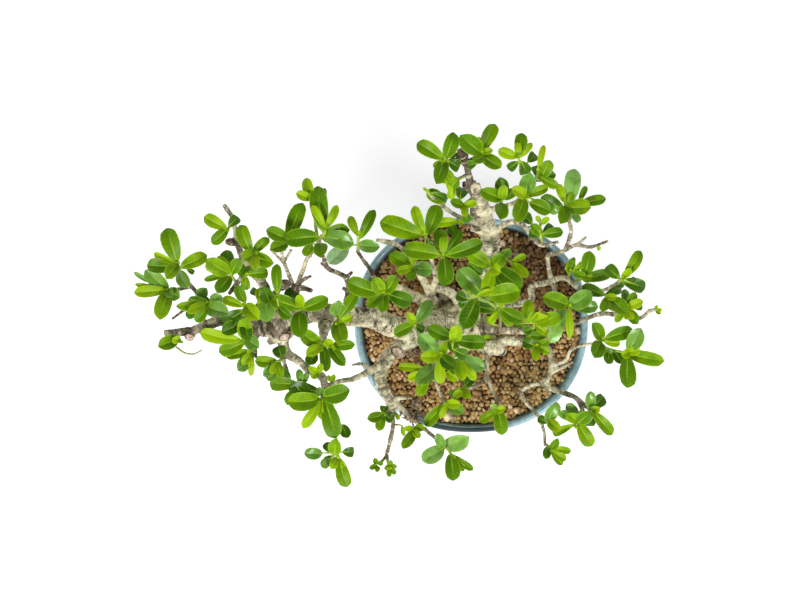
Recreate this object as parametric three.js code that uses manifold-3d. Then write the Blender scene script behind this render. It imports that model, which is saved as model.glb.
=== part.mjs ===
// Border privet bonsai in its glazed pot, in millimetres, +Z up, standing on z = 0.
// The tree leans out over the pot: one woody body of trunk, limbs and twigs, and leafy sprays on its tips.
// The origin is under the middle of the whole tree, on the surface that the pot stands on.

import * as THREE from "three";
import { mergeVertices } from "three/addons/utils/BufferGeometryUtils.js";
import Module from "manifold-3d";

const wasm = await Module();
wasm.setup();

// Driving dimensions
const POT_WIDTH = 180;
const POT_DEPTH = 171;
const POT_HEIGHT = 72;
const POT_SQUARENESS = 2.2;
const FOOT_HEIGHT = 5;
const FLOOR_THICKNESS = 5;
const DRAIN_RADIUS = 9;
const SOIL_LEVEL = 65;
const SOIL_MOUND = 3.5;
const GAP = 0.35;
const BLADE_THICKNESS = 1.2;
// Middle of the pot from the origin, which is under the middle of the whole tree
const POT_OFFSET = [45.5, -8.5];

// Reading of the tree from straight above: a place is a point on the plan and a height over the table.
// The plan is seen from VIEW_HEIGHT over the rim, so what is higher reads larger.
const PLAN_MIDDLE = [400, 305.5];
const PLAN_POT = [471.5, 321.5];
const PLAN_POT_WIDTH = 234;
const VIEW_HEIGHT = 1150;
const PLAN_SCALE = POT_WIDTH / PLAN_POT_WIDTH;

function planScale(height) {
  return (PLAN_SCALE * (VIEW_HEIGHT + POT_HEIGHT - height)) / VIEW_HEIGHT;
}

// A place on the plan in millimetres from the middle of the pot
function place([across, down, height]) {
  const scale = planScale(height);
  return new THREE.Vector3(
    (across - PLAN_MIDDLE[0]) * scale - (PLAN_POT[0] - PLAN_MIDDLE[0]) * PLAN_SCALE,
    (PLAN_MIDDLE[1] - down) * scale - (PLAN_MIDDLE[1] - PLAN_POT[1]) * PLAN_SCALE,
    height,
  );
}

// Limbs: plan across, plan down, height, diameter at each point, thickest end first
const LIMBS = {
  stump: [
    [464, 322, 40, 30], [464, 322, 58, 37], [463, 322, 68, 45], [461, 321, 79, 34], [458, 320, 90, 20],
  ],
  hollow_ridge: [
    [428, 300, 76, 8], [431, 289, 83, 8], [444, 287, 87, 8], [456, 294, 88, 9], [464, 306, 84, 12],
  ],
  root_front: [[456, 336, 70, 16], [444, 348, 68, 11], [430, 356, 64, 6]],
  root_right: [[476, 338, 72, 20], [492, 346, 71, 15], [505, 352, 66, 8]],
  left_trunk: [
    [458, 322, 74, 27], [441, 323, 88, 22], [425, 326, 101, 19],
    [400, 328, 114, 17], [375, 319, 124, 16],
    [345, 315, 134, 15], [320, 312, 141, 14.5], [295, 318, 146, 14],
    [270, 328, 149, 15], [250, 327, 151, 11],
  ],
  left_trunk_knee: [[292, 322, 147, 13], [276, 337, 146, 9], [268, 343, 144, 4]],
  trunk_scar: [[325, 318, 140, 12], [325, 327, 144, 9], [323, 338, 146, 5.5], [323, 343, 147, 4.5]],
  trunk_knot: [[364, 318, 128, 12], [362, 309, 133, 7]],
  pink_spur: [[277, 334, 149, 7], [286, 338, 151, 6], [297, 334, 152, 1.6]],
  up_left_limb: [
    [282, 320, 148, 11], [268, 302, 156, 9.5], [265, 285, 163, 8.5],
    [250, 268, 170, 8.5], [242, 256, 175, 8],
    [237, 240, 181, 7.5], [232, 217, 189, 6.5], [224, 205, 193, 5.5],
  ],
  up_left_fork: [[251, 268, 170, 5], [238, 282, 169, 4], [229, 294, 167, 2.6]],
  left_limb: [
    [256, 326, 151, 10.5], [236, 321, 154, 9], [218, 321, 156, 8],
    [200, 329, 158, 8], [183, 332, 160, 6.5],
    [164, 333, 162, 4.5],
  ],
  far_left_twig: [
    [204, 327, 158, 5], [201, 310, 161, 4], [199, 297, 164, 3.8], [190, 285, 168, 3.4],
    [178, 276, 172, 2.6],
  ],
  far_left_side: [[191, 286, 168, 3.2], [180, 289, 170, 2.8], [170, 290, 172, 2.2]],
  dead_twig: [[200, 303, 163, 3], [186, 309, 166, 2.2], [172, 319, 168, 1.5]],
  lower_left_limb: [
    [284, 334, 148, 9], [285, 350, 149, 7.5], [300, 362, 150, 6.5],
    [309, 370, 151, 6], [322, 377, 152, 6.5],
    [325, 390, 154, 4.5],
  ],
  lower_left_spur: [[285, 352, 149, 4.5], [284, 361, 147, 3], [288, 371, 145, 1.5]],
  lower_left_twig: [[258, 330, 149, 5], [255, 345, 149, 3.4], [256, 358, 148, 2]],
  ring_twig: [[268, 300, 157, 6], [276, 292, 163, 4], [284, 284, 168, 3]],
  upper_twig: [
    [300, 314, 147, 7], [297, 297, 152, 5], [298, 283, 158, 4], [303, 270, 164, 3.5],
    [313, 250, 172, 2.8],
  ],
  upper_left_twig: [
    [297, 300, 151, 5.5], [293, 283, 159, 4.2], [285, 262, 168, 3.4], [284, 249, 174, 2.6],
  ],
  upper_left_side: [[288, 270, 164, 3], [272, 253, 169, 1.7]],
  back_left_twig: [
    [354, 316, 133, 9], [347, 302, 141, 6], [349, 290, 147, 4.8],
    [345, 277, 154, 4.4], [328, 268, 163, 3.8],
    [321, 256, 169, 2.8],
  ],
  back_left_knots: [[350, 292, 147, 4], [343, 288, 150, 2.6]],
  dark_twig: [
    [372, 316, 126, 7], [374, 292, 140, 4], [372, 273, 150, 3.2], [364, 261, 158, 2.8],
    [357, 251, 163, 2.2],
  ],
  front_left_limb: [
    [408, 338, 108, 11], [397, 349, 112, 10], [387, 361, 118, 8.5],
    [372, 371, 127, 7.5], [352, 380, 138, 6.5],
    [336, 383, 147, 6], [325, 389, 154, 5],
  ],
  front_left_spur: [[372, 371, 128, 4], [362, 364, 131, 2.6], [352, 365, 133, 1.5]],
  front_limb: [
    [420, 334, 100, 14], [404, 344, 104, 13], [390, 357, 106, 12],
    [384, 372, 106, 11], [385, 386, 105, 10.5],
    [393, 401, 104, 9.5], [392, 416, 104, 6],
  ],
  front_knot: [[398, 350, 106, 10], [402, 357, 108, 7]],
  front_long_twig: [
    [392, 411, 104, 5], [393, 424, 104, 3.6], [391, 437, 104, 3.8], [386, 457, 105, 2.8],
  ],
  front_right_twig: [
    [395, 402, 104, 6], [409, 415, 102, 4.4], [420, 425, 101, 4.4],
    [433, 436, 101, 3.8], [446, 445, 103, 2.8],
  ],
  front_spur: [[396, 398, 105, 4], [412, 398, 106, 1.6]],
  front_small_spur: [[391, 409, 104, 4], [385, 414, 106, 2.4]],
  low_front_twig: [
    [446, 336, 84, 9], [437, 352, 91, 5.5], [434, 368, 96, 4], [435, 380, 98, 3.4], [440, 393, 99, 3.2],
    [448, 410, 100, 3], [454, 422, 101, 3],
  ],
  back_trunk: [
    [468, 314, 74, 23], [474, 294, 86, 18], [486, 266, 103, 15.5],
    [490, 242, 122, 14], [485, 216, 146, 12],
    [478, 198, 165, 11], [471, 185, 180, 10.5], [468, 171, 193, 6.5], [462, 154, 206, 4],
  ],
  back_scar: [[478, 196, 172, 10], [475, 188, 181, 8]],
  back_cut_left: [[486, 231, 134, 8], [471, 228, 137, 5.5]],
  back_cut_right: [[490, 246, 121, 8], [504, 243, 124, 5]],
  pale_twig: [
    [480, 222, 146, 6.5], [468, 221, 153, 5.2], [445, 208, 168, 4.2], [430, 195, 180, 3.2],
  ],
  back_tip_twig: [[470, 178, 188, 4.6], [476, 166, 199, 3.4], [480, 157, 207, 2.6]],
  back_top_twig: [[465, 161, 201, 3.6], [455, 160, 206, 3], [448, 161, 209, 2.4]],
  back_right_twig: [
    [484, 212, 150, 6.5], [500, 207, 160, 4.6], [516, 202, 168, 4], [528, 190, 175, 3.4],
    [524, 170, 184, 2.8],
  ],
  back_right_side: [[526, 193, 174, 3], [536, 180, 180, 2.2]],
  right_back_limb: [
    [489, 248, 117, 9], [498, 229, 130, 7], [511, 222, 139, 6],
    [523, 225, 145, 5.6], [531, 236, 149, 5.2],
    [541, 245, 152, 4.6], [558, 242, 157, 2.8],
  ],
  long_right_limb: [
    [470, 322, 76, 15], [482, 327, 85, 10], [505, 330, 92, 7.5], [530, 331, 98, 6.5], [546, 327, 103, 6],
    [575, 324, 110, 5.4], [600, 316, 116, 5], [626, 316, 120, 4.6], [660, 312, 125, 3.2],
  ],
  right_front_limb: [
    [478, 340, 76, 15], [490, 345, 82, 11], [502, 341, 86, 8.5], [530, 342, 91, 7], [548, 349, 95, 6.5],
    [552, 363, 97, 5.8], [549, 376, 98, 5.6], [546, 385, 99, 6],
    [562, 392, 100, 5], [576, 398, 102, 4.4],
    [589, 409, 104, 2.8],
  ],
  right_front_fork: [
    [546, 384, 99, 5], [531, 385, 98, 4.4], [521, 394, 97, 4.4],
    [530, 406, 97, 3.8], [538, 418, 98, 3.6],
    [544, 432, 99, 3], [545, 446, 101, 2.2],
  ],
  right_thin_twig: [
    [552, 366, 97, 4.4], [566, 360, 100, 3.2], [570, 351, 104, 3], [579, 346, 107, 2.8],
    [598, 343, 112, 2.2],
  ],
  right_stub: [[550, 373, 98, 4.4], [573, 362, 100, 1.8]],
  soil_twig: [
    [484, 348, 78, 9], [488, 362, 81, 5], [488, 377, 83, 4.6], [494, 391, 86, 3.8], [499, 405, 90, 2.6],
  ],
  soil_twig_fork: [[488, 376, 83, 4], [475, 386, 87, 3.2], [465, 389, 93, 2.2]],
  inner_right_limb: [
    [472, 314, 76, 10], [500, 306, 82, 6.5], [531, 300, 88, 5.4], [531, 287, 93, 5], [546, 283, 97, 4.8],
    [564, 278, 101, 4.2], [577, 287, 104, 3.4], [600, 291, 112, 3], [618, 283, 120, 2.4],
  ],
  inner_right_side: [[552, 282, 98, 3.6], [557, 297, 100, 3.2], [566, 305, 104, 2.4]],
  inner_back_twig: [
    [551, 281, 98, 4.6], [548, 262, 107, 4], [548, 255, 111, 4],
    [561, 252, 116, 3.8], [576, 245, 121, 3.4],
    [590, 247, 125, 2.8], [608, 241, 130, 1.8],
  ],
  inner_back_fork: [[566, 249, 118, 3.4], [571, 231, 128, 3], [567, 215, 137, 2.4]],
  inner_back_spur: [[577, 245, 121, 2.8], [586, 237, 126, 1.5]],
  arched_twig: [
    [434, 304, 80, 9], [427, 287, 95, 6.5], [418, 272, 108, 5], [407, 254, 122, 4], [394, 243, 134, 3.2],
    [377, 240, 143, 2.6],
  ],
  crown_twig: [[430, 292, 90, 6], [438, 277, 114, 4.4], [443, 262, 142, 3.6], [443, 257, 164, 2.6]],
  crown_side: [[436, 280, 110, 4], [430, 254, 140, 3.4], [426, 238, 160, 2.4]],
  pale_root_limb: [
    [432, 304, 84, 10], [415, 297, 98, 8], [400, 288, 112, 5.5], [389, 288, 134, 3.6],
    [384, 292, 150, 2.6],
  ],
};
const TWIG_SIDES = 4;
const LIMB_SIDES = 5;
const TRUNK_SIDES = 6;
const THICK_LIMB = 8.5;
const THICK_TRUNK = 12.5;
const GNARL = 0.09;

// Kinds of leaf in their order from the tip of a shoot down, and how much each rises or droops
const YOUNG = { rank: 0, rise: 1.3 };
const GREEN = { rank: 1, rise: 1 };
const GLOSSY = { rank: 2, rise: 1 };
const DARK = { rank: 3, rise: -0.5 };
const LEAFY_SHARE = 0.75;
const LEAF_ASPECT = 2.25;
const LEAST_PITCH = THREE.MathUtils.degToRad(5);
const MOST_PITCH = THREE.MathUtils.degToRad(48);

// Sprays: for each shoot, its stem from the wood to its tip (plan across, plan down, height),
// and its leaves (plan place of the leaf's tip, width on the plan, kind). The smallest leaves are left out.
const SPRAYS = {
  spray_far_left: [
    {
      stem: [[178, 276, 171], [179, 270, 177], [178, 264, 184]],
      leaves: [
        [167, 228, 17, GREEN], [147, 266, 14, GREEN], [165, 276, 12, DARK], [207, 255, 13, GREEN],
        [187, 288, 12, GLOSSY],
      ],
    },
    {
      stem: [[172, 290, 171], [168, 290, 178]],
      leaves: [
        [145, 270, 14, GLOSSY], [134, 293, 11, YOUNG], [160, 320, 15, GREEN], [173, 297, 9, GLOSSY],
      ],
    },
    {
      stem: [[200, 305, 162], [207, 306, 167], [208, 304, 173]],
      leaves: [
        [176, 306, 9, GREEN], [187, 312, 9, YOUNG], [197, 322, 8, DARK], [229, 314, 15, GLOSSY],
      ],
    },
  ],
  spray_left_tip: [
    {
      stem: [[176, 333, 161], [179, 338, 165], [180, 341, 169]],
      leaves: [
        [158, 347, 13, GREEN], [172, 338, 8, YOUNG],
      ],
    },
  ],
  spray_top_left: [
    {
      stem: [[233, 224, 187], [230, 226, 193], [228, 229, 198]],
      leaves: [
        [204, 217, 12, YOUNG], [237, 217, 9, DARK], [212, 244, 11, GREEN], [233, 243, 9, GLOSSY],
      ],
    },
  ],
  spray_upper_left: [
    {
      stem: [[243, 258, 175], [250, 256, 181], [255, 254, 188]],
      leaves: [
        [240, 225, 13, GREEN], [269, 238, 9, GREEN], [274, 263, 13, GREEN], [242, 261, 12, GLOSSY],
        [256, 270, 9, YOUNG],
      ],
    },
  ],
  spray_left_inner: [
    {
      stem: [[237, 283, 169], [232, 277, 176], [230, 272, 183]],
      leaves: [
        [206, 259, 15, YOUNG], [226, 250, 13, DARK], [217, 293, 13, GREEN],
      ],
    },
    {
      stem: [[244, 275, 170], [246, 275, 179]],
      leaves: [
        [268, 273, 11, GREEN], [247, 290, 9, GLOSSY],
      ],
    },
  ],
  spray_left_middle: [
    {
      stem: [[252, 323, 153], [247, 314, 162], [244, 305, 170]],
      leaves: [
        [222, 299, 9, YOUNG], [260, 317, 13, YOUNG], [222, 329, 14, DARK],
      ],
    },
    {
      stem: [[266, 303, 157], [260, 304, 166]],
      leaves: [
        [270, 321, 16, GLOSSY],
      ],
    },
  ],
  spray_left_ring: [
    {
      stem: [[280, 288, 166], [278, 294, 172], [277, 296, 177]],
      leaves: [
        [277, 264, 10, GREEN], [268, 285, 12, DARK],
      ],
    },
  ],
  spray_left_lower: [
    {
      stem: [[255, 342, 149], [248, 341, 154], [243, 340, 161]],
      leaves: [
        [200, 332, 13, YOUNG], [247, 317, 13, GREEN], [261, 345, 13, GLOSSY], [219, 352, 13, GREEN],
      ],
    },
    {
      stem: [[256, 352, 148], [251, 351, 155]],
      leaves: [
        [238, 371, 12, GLOSSY], [243, 365, 8, YOUNG], [226, 357, 9, GREEN],
      ],
    },
  ],
  spray_lower_left: [
    {
      stem: [[286, 357, 149], [281, 360, 154], [277, 362, 160]],
      leaves: [
        [255, 361, 11, GREEN], [281, 378, 8, YOUNG], [268, 381, 13, GLOSSY], [278, 346, 13, DARK],
      ],
    },
  ],
  spray_upper_middle: [
    {
      stem: [[312, 252, 171], [318, 243, 178], [322, 236, 186]],
      leaves: [
        [285, 241, 17, GREEN], [350, 230, 16, GREEN], [357, 246, 17, GLOSSY], [326, 256, 12, DARK],
        [303, 255, 10, DARK], [330, 264, 12, DARK],
      ],
    },
    {
      stem: [[319, 241, 181], [325, 232, 192], [325, 229, 198]],
      leaves: [
        [318, 186, 17, GREEN], [337, 205, 8, YOUNG],
      ],
    },
    {
      stem: [[318, 243, 179], [315, 220, 185], [314, 200, 190]],
      leaves: [
        [306, 178, 10, YOUNG], [295, 193, 10, GREEN], [325, 188, 8, DARK],
      ],
    },
  ],
  spray_upper_middle_left: [
    {
      stem: [[284, 250, 173], [288, 243, 179], [291, 238, 185]],
      leaves: [
        [266, 230, 13, GREEN], [270, 250, 12, GREEN], [303, 203, 15, GREEN],
      ],
    },
  ],
  spray_back_left: [
    {
      stem: [[358, 252, 162], [358, 244, 168], [358, 235, 175]],
      leaves: [
        [350, 216, 8, YOUNG], [375, 210, 10, GREEN], [380, 247, 12, GLOSSY],
      ],
    },
  ],
  spray_middle: [
    {
      stem: [[384, 292, 148], [384, 293, 158], [384, 293, 166]],
      leaves: [
        [347, 282, 17, GREEN], [373, 277, 12, GREEN], [397, 275, 12, GREEN], [412, 302, 15, DARK],
        [367, 307, 12, GREEN], [382, 313, 11, GREEN],
      ],
    },
  ],
  spray_middle_left: [
    {
      stem: [[334, 314, 138], [338, 317, 146], [338, 322, 154]],
      leaves: [
        [339, 300, 14, GLOSSY], [357, 293, 11, GREEN], [343, 344, 15, GREEN],
      ],
    },
    {
      stem: [[324, 340, 146], [330, 345, 152], [333, 347, 159]],
      leaves: [
        [355, 344, 10, GREEN], [345, 366, 11, GREEN], [325, 339, 9, YOUNG],
      ],
    },
    {
      stem: [[323, 341, 146], [322, 347, 154]],
      leaves: [
        [300, 332, 14, GREEN], [306, 355, 10, YOUNG], [326, 372, 10, GREEN],
      ],
    },
  ],
  spray_left_star: [
    {
      stem: [[300, 315, 147], [300, 311, 156], [300, 308, 166]],
      leaves: [
        [270, 299, 15, GREEN], [328, 298, 13, GREEN], [301, 294, 9, YOUNG], [302, 338, 16, GREEN],
        [289, 287, 14, DARK],
      ],
    },
  ],
  spray_front_left: [
    {
      stem: [[325, 387, 153], [323, 394, 160], [321, 400, 167]],
      leaves: [
        [287, 402, 17, GREEN], [350, 390, 17, GREEN], [336, 438, 17, GREEN], [303, 428, 10, YOUNG],
        [288, 388, 13, DARK], [318, 387, 9, GLOSSY], [347, 437, 13, DARK],
      ],
    },
    {
      stem: [[326, 388, 153], [334, 412, 151], [336, 436, 150], [337, 453, 157]],
      leaves: [
        [335, 438, 12, GREEN], [303, 454, 11, GLOSSY], [354, 452, 11, DARK], [347, 487, 14, GREEN],
        [330, 468, 8, DARK], [323, 468, 8, GLOSSY], [325, 443, 8, DARK],
      ],
    },
  ],
  spray_front_left_side: [
    {
      stem: [[309, 370, 151], [303, 379, 154], [301, 386, 160]],
      leaves: [
        [270, 384, 13, GREEN], [298, 370, 12, GLOSSY], [313, 391, 9, GREEN],
      ],
    },
    {
      stem: [[317, 375, 152], [318, 373, 159]],
      leaves: [
       
      ],
    },
  ],
  spray_front_small: [
    {
      stem: [[387, 413, 105], [384, 414, 109], [383, 414, 114]],
      leaves: [
        [367, 419, 10, GREEN], [379, 431, 9, GREEN], [384, 406, 8, DARK], [393, 420, 9, DARK],
      ],
    },
  ],
  spray_front_tip: [
    {
      stem: [[387, 455, 105], [382, 461, 108], [376, 464, 113]],
      leaves: [
        [369, 462, 6, YOUNG], [376, 471, 6, YOUNG], [382, 460, 6, GREEN], [371, 470, 6, GREEN],
      ],
    },
    {
      stem: [[387, 455, 105], [388, 463, 108], [389, 467, 113]],
      leaves: [
        [382, 471, 6, YOUNG], [393, 474, 6, YOUNG], [397, 465, 6, GREEN], [389, 459, 6, GREEN],
      ],
    },
  ],
  spray_front_middle: [
    {
      stem: [[420, 425, 101], [416, 428, 106], [413, 429, 112]],
      leaves: [
        [403, 449, 10, GREEN],
      ],
    },
    {
      stem: [[444, 443, 103], [445, 446, 108], [444, 448, 114]],
      leaves: [
        [422, 461, 15, GLOSSY], [469, 436, 16, GLOSSY], [437, 433, 9, YOUNG],
      ],
    },
    {
      stem: [[444, 444, 103], [449, 451, 107], [452, 455, 111]],
      leaves: [
        [453, 481, 14, GREEN],
      ],
    },
  ],
  spray_low_front: [
    {
      stem: [[443, 399, 99], [446, 402, 106], [446, 404, 114]],
      leaves: [
        [425, 426, 11, GREEN], [461, 404, 9, YOUNG], [463, 414, 12, GLOSSY],
      ],
    },
  ],
  spray_low_inner: [
    {
      stem: [[467, 388, 91], [463, 388, 97], [461, 388, 103]],
      leaves: [
        [451, 396, 10, DARK], [469, 399, 9, YOUNG], [471, 378, 10, DARK],
      ],
    },
  ],
  spray_low_centre: [
    {
      stem: [[498, 402, 89], [497, 408, 96], [497, 411, 102]],
      leaves: [
        [480, 422, 9, GREEN], [502, 435, 13, GREEN],
      ],
    },
  ],
  spray_right_front_low: [
    {
      stem: [[541, 424, 98], [546, 422, 104], [549, 421, 110]],
      leaves: [
        [557, 402, 12, GLOSSY], [540, 422, 9, DARK], [561, 431, 10, YOUNG],
      ],
    },
    {
      stem: [[545, 444, 101], [549, 447, 105], [551, 449, 110]],
      leaves: [
        [558, 438, 8, GREEN], [545, 459, 8, GREEN],
      ],
    },
  ],
  spray_right_front: [
    {
      stem: [[584, 404, 103], [579, 416, 108], [575, 425, 114]],
      leaves: [
        [566, 404, 10, GLOSSY], [553, 434, 8, YOUNG], [592, 446, 13, YOUNG], [559, 411, 9, DARK],
      ],
    },
    {
      stem: [[587, 407, 103], [590, 409, 108], [591, 411, 114]],
      leaves: [
        [590, 391, 10, GREEN], [604, 397, 12, DARK], [600, 407, 8, YOUNG], [612, 435, 11, GREEN],
        [589, 426, 12, DARK],
      ],
    },
  ],
  spray_right_low: [
    {
      stem: [[595, 344, 111], [601, 341, 117], [603, 340, 124]],
      leaves: [
        [592, 323, 12, GREEN], [594, 358, 14, GREEN], [633, 330, 13, YOUNG], [620, 344, 8, YOUNG],
        [620, 354, 11, DARK],
      ],
    },
    {
      stem: [[596, 344, 111], [612, 350, 113], [628, 353, 120]],
      leaves: [
        [643, 328, 14, GLOSSY], [664, 361, 13, GREEN], [627, 388, 16, GREEN], [641, 350, 8, YOUNG],
      ],
    },
  ],
  spray_right_middle: [
    {
      stem: [[620, 316, 120], [624, 311, 126], [626, 307, 132]],
      leaves: [
        [608, 299, 13, DARK], [643, 301, 9, YOUNG], [638, 324, 10, GREEN], [625, 289, 8, GLOSSY],
      ],
    },
  ],
  spray_right_inner_middle: [
    {
      stem: [[600, 292, 111], [605, 295, 117], [607, 297, 124]],
      leaves: [
        [582, 286, 11, DARK], [602, 312, 9, GREEN], [621, 287, 9, DARK],
      ],
    },
  ],
  spray_right_upper: [
    {
      stem: [[617, 284, 119], [620, 280, 126], [622, 278, 133]],
      leaves: [
        [606, 267, 12, DARK], [641, 251, 11, YOUNG], [645, 288, 13, DARK],
      ],
    },
  ],
  spray_right_back: [
    {
      stem: [[572, 283, 103], [581, 279, 109], [588, 276, 116]],
      leaves: [
        [590, 251, 13, GREEN], [611, 274, 11, GREEN], [587, 283, 8, YOUNG],
      ],
    },
    {
      stem: [[566, 279, 101], [569, 275, 108], [570, 272, 114]],
      leaves: [
        [571, 258, 8, GREEN], [560, 266, 8, YOUNG],
      ],
    },
  ],
  spray_right_inner: [
    {
      stem: [[564, 304, 103], [567, 305, 110], [569, 306, 117]],
      leaves: [
        [542, 297, 15, GREEN], [592, 291, 16, GLOSSY], [598, 307, 12, GLOSSY], [550, 343, 13, GLOSSY],
      ],
    },
  ],
  spray_right_centre: [
    {
      stem: [[532, 331, 98], [534, 327, 106], [534, 322, 114]],
      leaves: [
        [534, 301, 9, YOUNG], [561, 315, 14, GREEN], [524, 332, 10, DARK],
      ],
    },
  ],
  spray_right_centre_low: [
    {
      stem: [[536, 344, 92], [537, 346, 98], [537, 346, 104]],
      leaves: [
        [549, 341, 8, GREEN], [535, 361, 8, YOUNG], [523, 341, 12, DARK],
      ],
    },
  ],
  spray_centre_back: [
    {
      stem: [[489, 262, 106], [492, 266, 130], [491, 268, 152]],
      leaves: [
        [467, 251, 14, GREEN], [505, 255, 13, GREEN], [501, 273, 11, YOUNG], [485, 293, 12, YOUNG],
        [522, 288, 17, GREEN], [508, 296, 12, DARK],
      ],
    },
    {
      stem: [[494, 250, 118], [505, 258, 124], [512, 263, 130]],
      leaves: [
        [510, 248, 10, GLOSSY], [528, 277, 9, YOUNG],
      ],
    },
  ],
  spray_centre_long: [
    {
      stem: [[500, 330, 92], [500, 316, 112], [493, 305, 132], [471, 294, 152]],
      leaves: [
        [458, 269, 19, GLOSSY], [458, 303, 12, DARK], [463, 329, 17, GREEN],
      ],
    },
    {
      stem: [[500, 318, 108], [500, 312, 126], [499, 308, 132]],
      leaves: [
        [523, 295, 16, GREEN], [512, 326, 9, YOUNG], [524, 320, 13, GREEN],
      ],
    },
  ],
  spray_centre: [
    {
      stem: [[458, 328, 82], [453, 336, 115], [453, 342, 148]],
      leaves: [
        [486, 343, 14, GREEN], [427, 328, 13, GREEN], [458, 324, 12, YOUNG], [461, 357, 12, DARK],
        [441, 332, 10, DARK],
      ],
    },
  ],
  spray_centre_front: [
    {
      stem: [[436, 358, 93], [440, 357, 112], [441, 355, 132]],
      leaves: [
        [419, 333, 15, GLOSSY], [420, 357, 11, YOUNG], [447, 341, 8, YOUNG], [455, 369, 13, DARK],
        [440, 384, 10, YOUNG], [417, 384, 13, GLOSSY], [401, 367, 8, YOUNG],
      ],
    },
    {
      stem: [[434, 370, 97], [430, 372, 105], [427, 374, 112]],
      leaves: [
        [418, 396, 10, GREEN], [406, 377, 10, DARK],
      ],
    },
    {
      stem: [[440, 357, 112], [452, 360, 116], [462, 362, 120]],
      leaves: [
        [485, 368, 14, GLOSSY], [476, 380, 8, YOUNG], [463, 381, 11, YOUNG], [453, 375, 8, GREEN],
      ],
    },
  ],
  spray_centre_left: [
    {
      stem: [[415, 327, 107], [415, 325, 124], [415, 323, 140]],
      leaves: [
        [432, 301, 12, GLOSSY], [394, 335, 11, GREEN], [407, 313, 8, YOUNG], [424, 331, 8, DARK],
      ],
    },
  ],
  spray_back_centre_left: [
    {
      stem: [[414, 266, 112], [413, 267, 122], [412, 267, 132]],
      leaves: [
        [389, 254, 13, GREEN], [396, 271, 8, YOUNG], [433, 270, 14, GLOSSY], [410, 281, 9, GREEN],
        [413, 244, 10, YOUNG],
      ],
    },
  ],
  spray_crown_left: [
    {
      stem: [[443, 257, 162], [443, 256, 172], [443, 256, 182]],
      leaves: [
        [403, 250, 16, GREEN], [483, 243, 14, GREEN], [444, 236, 8, YOUNG], [446, 286, 15, GREEN],
        [440, 229, 13, DARK], [461, 230, 9, DARK],
      ],
    },
  ],
  spray_crown_back: [
    {
      stem: [[427, 240, 158], [426, 237, 168], [425, 235, 178]],
      leaves: [
        [380, 222, 19, GREEN], [414, 206, 10, YOUNG], [438, 205, 15, GREEN], [432, 250, 8, DARK],
      ],
    },
  ],
  spray_pale_twig: [
    {
      stem: [[462, 218, 157], [460, 220, 162], [460, 222, 168]],
      leaves: [
        [435, 224, 9, YOUNG], [474, 232, 8, GREEN],
      ],
    },
    {
      stem: [[431, 196, 179], [427, 191, 184]],
      leaves: [
        [447, 200, 8, DARK],
      ],
    },
  ],
  spray_back_top: [
    {
      stem: [[449, 161, 208], [446, 160, 213], [445, 160, 218]],
      leaves: [
        [417, 143, 14, GREEN], [453, 132, 14, GREEN], [436, 184, 14, GREEN], [459, 168, 12, DARK],
      ],
    },
  ],
  spray_back_tip: [
    {
      stem: [[479, 158, 206], [481, 155, 211], [482, 153, 217]],
      leaves: [
        [460, 135, 17, GREEN], [495, 124, 13, GREEN], [501, 168, 13, GREEN], [475, 162, 11, DARK],
      ],
    },
  ],
  spray_back_lower: [
    {
      stem: [[468, 174, 190], [455, 181, 192], [452, 184, 195]],
      leaves: [
        [450, 199, 8, YOUNG], [438, 179, 9, DARK],
      ],
    },
    {
      stem: [[476, 196, 167], [467, 202, 171], [462, 206, 176]],
      leaves: [
        [450, 202, 9, GREEN], [460, 192, 12, DARK],
      ],
    },
  ],
  spray_back_right: [
    {
      stem: [[498, 208, 159], [501, 203, 167], [502, 199, 176]],
      leaves: [
        [480, 190, 13, GREEN], [500, 177, 13, GREEN], [504, 184, 9, YOUNG], [500, 220, 13, GREEN],
        [521, 193, 10, DARK],
      ],
    },
  ],
  spray_back_right_middle: [
    {
      stem: [[523, 195, 171], [525, 196, 179], [526, 197, 187]],
      leaves: [
        [530, 172, 15, GLOSSY], [511, 189, 11, YOUNG], [548, 188, 9, YOUNG], [516, 222, 14, GREEN],
        [550, 209, 13, DARK],
      ],
    },
  ],
  spray_back_right_top: [
    {
      stem: [[524, 171, 183], [520, 163, 189], [518, 157, 196]],
      leaves: [
        [522, 133, 12, GREEN], [498, 150, 10, YOUNG], [508, 169, 9, DARK], [526, 174, 12, DARK],
        [534, 153, 9, DARK],
      ],
    },
    {
      stem: [[535, 181, 179], [537, 176, 186], [538, 172, 192]],
      leaves: [
        [549, 157, 11, GREEN], [556, 175, 9, DARK], [558, 187, 9, GREEN],
      ],
    },
  ],
  spray_back_right_tip: [
    {
      stem: [[567, 217, 136], [566, 209, 143], [565, 203, 150]],
      leaves: [
        [575, 169, 15, GLOSSY], [557, 184, 8, YOUNG], [541, 197, 12, DARK], [560, 224, 12, GREEN],
      ],
    },
    {
      stem: [[568, 222, 133], [576, 209, 140], [580, 201, 147]],
      leaves: [
        [606, 199, 10, GREEN], [590, 208, 12, DARK],
      ],
    },
  ],
  spray_back_right_low: [
    {
      stem: [[543, 244, 152], [541, 238, 157], [540, 233, 163]],
      leaves: [
        [529, 233, 9, DARK], [546, 217, 8, YOUNG], [552, 225, 9, DARK], [563, 232, 10, GREEN],
        [526, 220, 10, DARK],
      ],
    },
  ],
};
const STEM_SIDES = 4;
const STEM_FOOT = 1.25;
const STEM_TIP = 0.85;
const LARGE_LEAF = 23;
const LEAF_ARCH = 0.09;
const LEAF_FOLD = 0.2;
// Outline of a blade: how far along it, and its share of the full width
const LONG_OUTLINE = [[0.3, 0.8], [0.62, 1], [0.87, 0.74]];
const SHORT_OUTLINE = [[0.38, 0.92], [0.78, 0.88]];
// Angles tried in turn to bend a leaf clear of what is already there
const BENDS = [0, 6, -6, 12, -12, 18, -18, 24, -24, 30, -30, 38, -38, 46, -46, 54, 62, 70];

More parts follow.
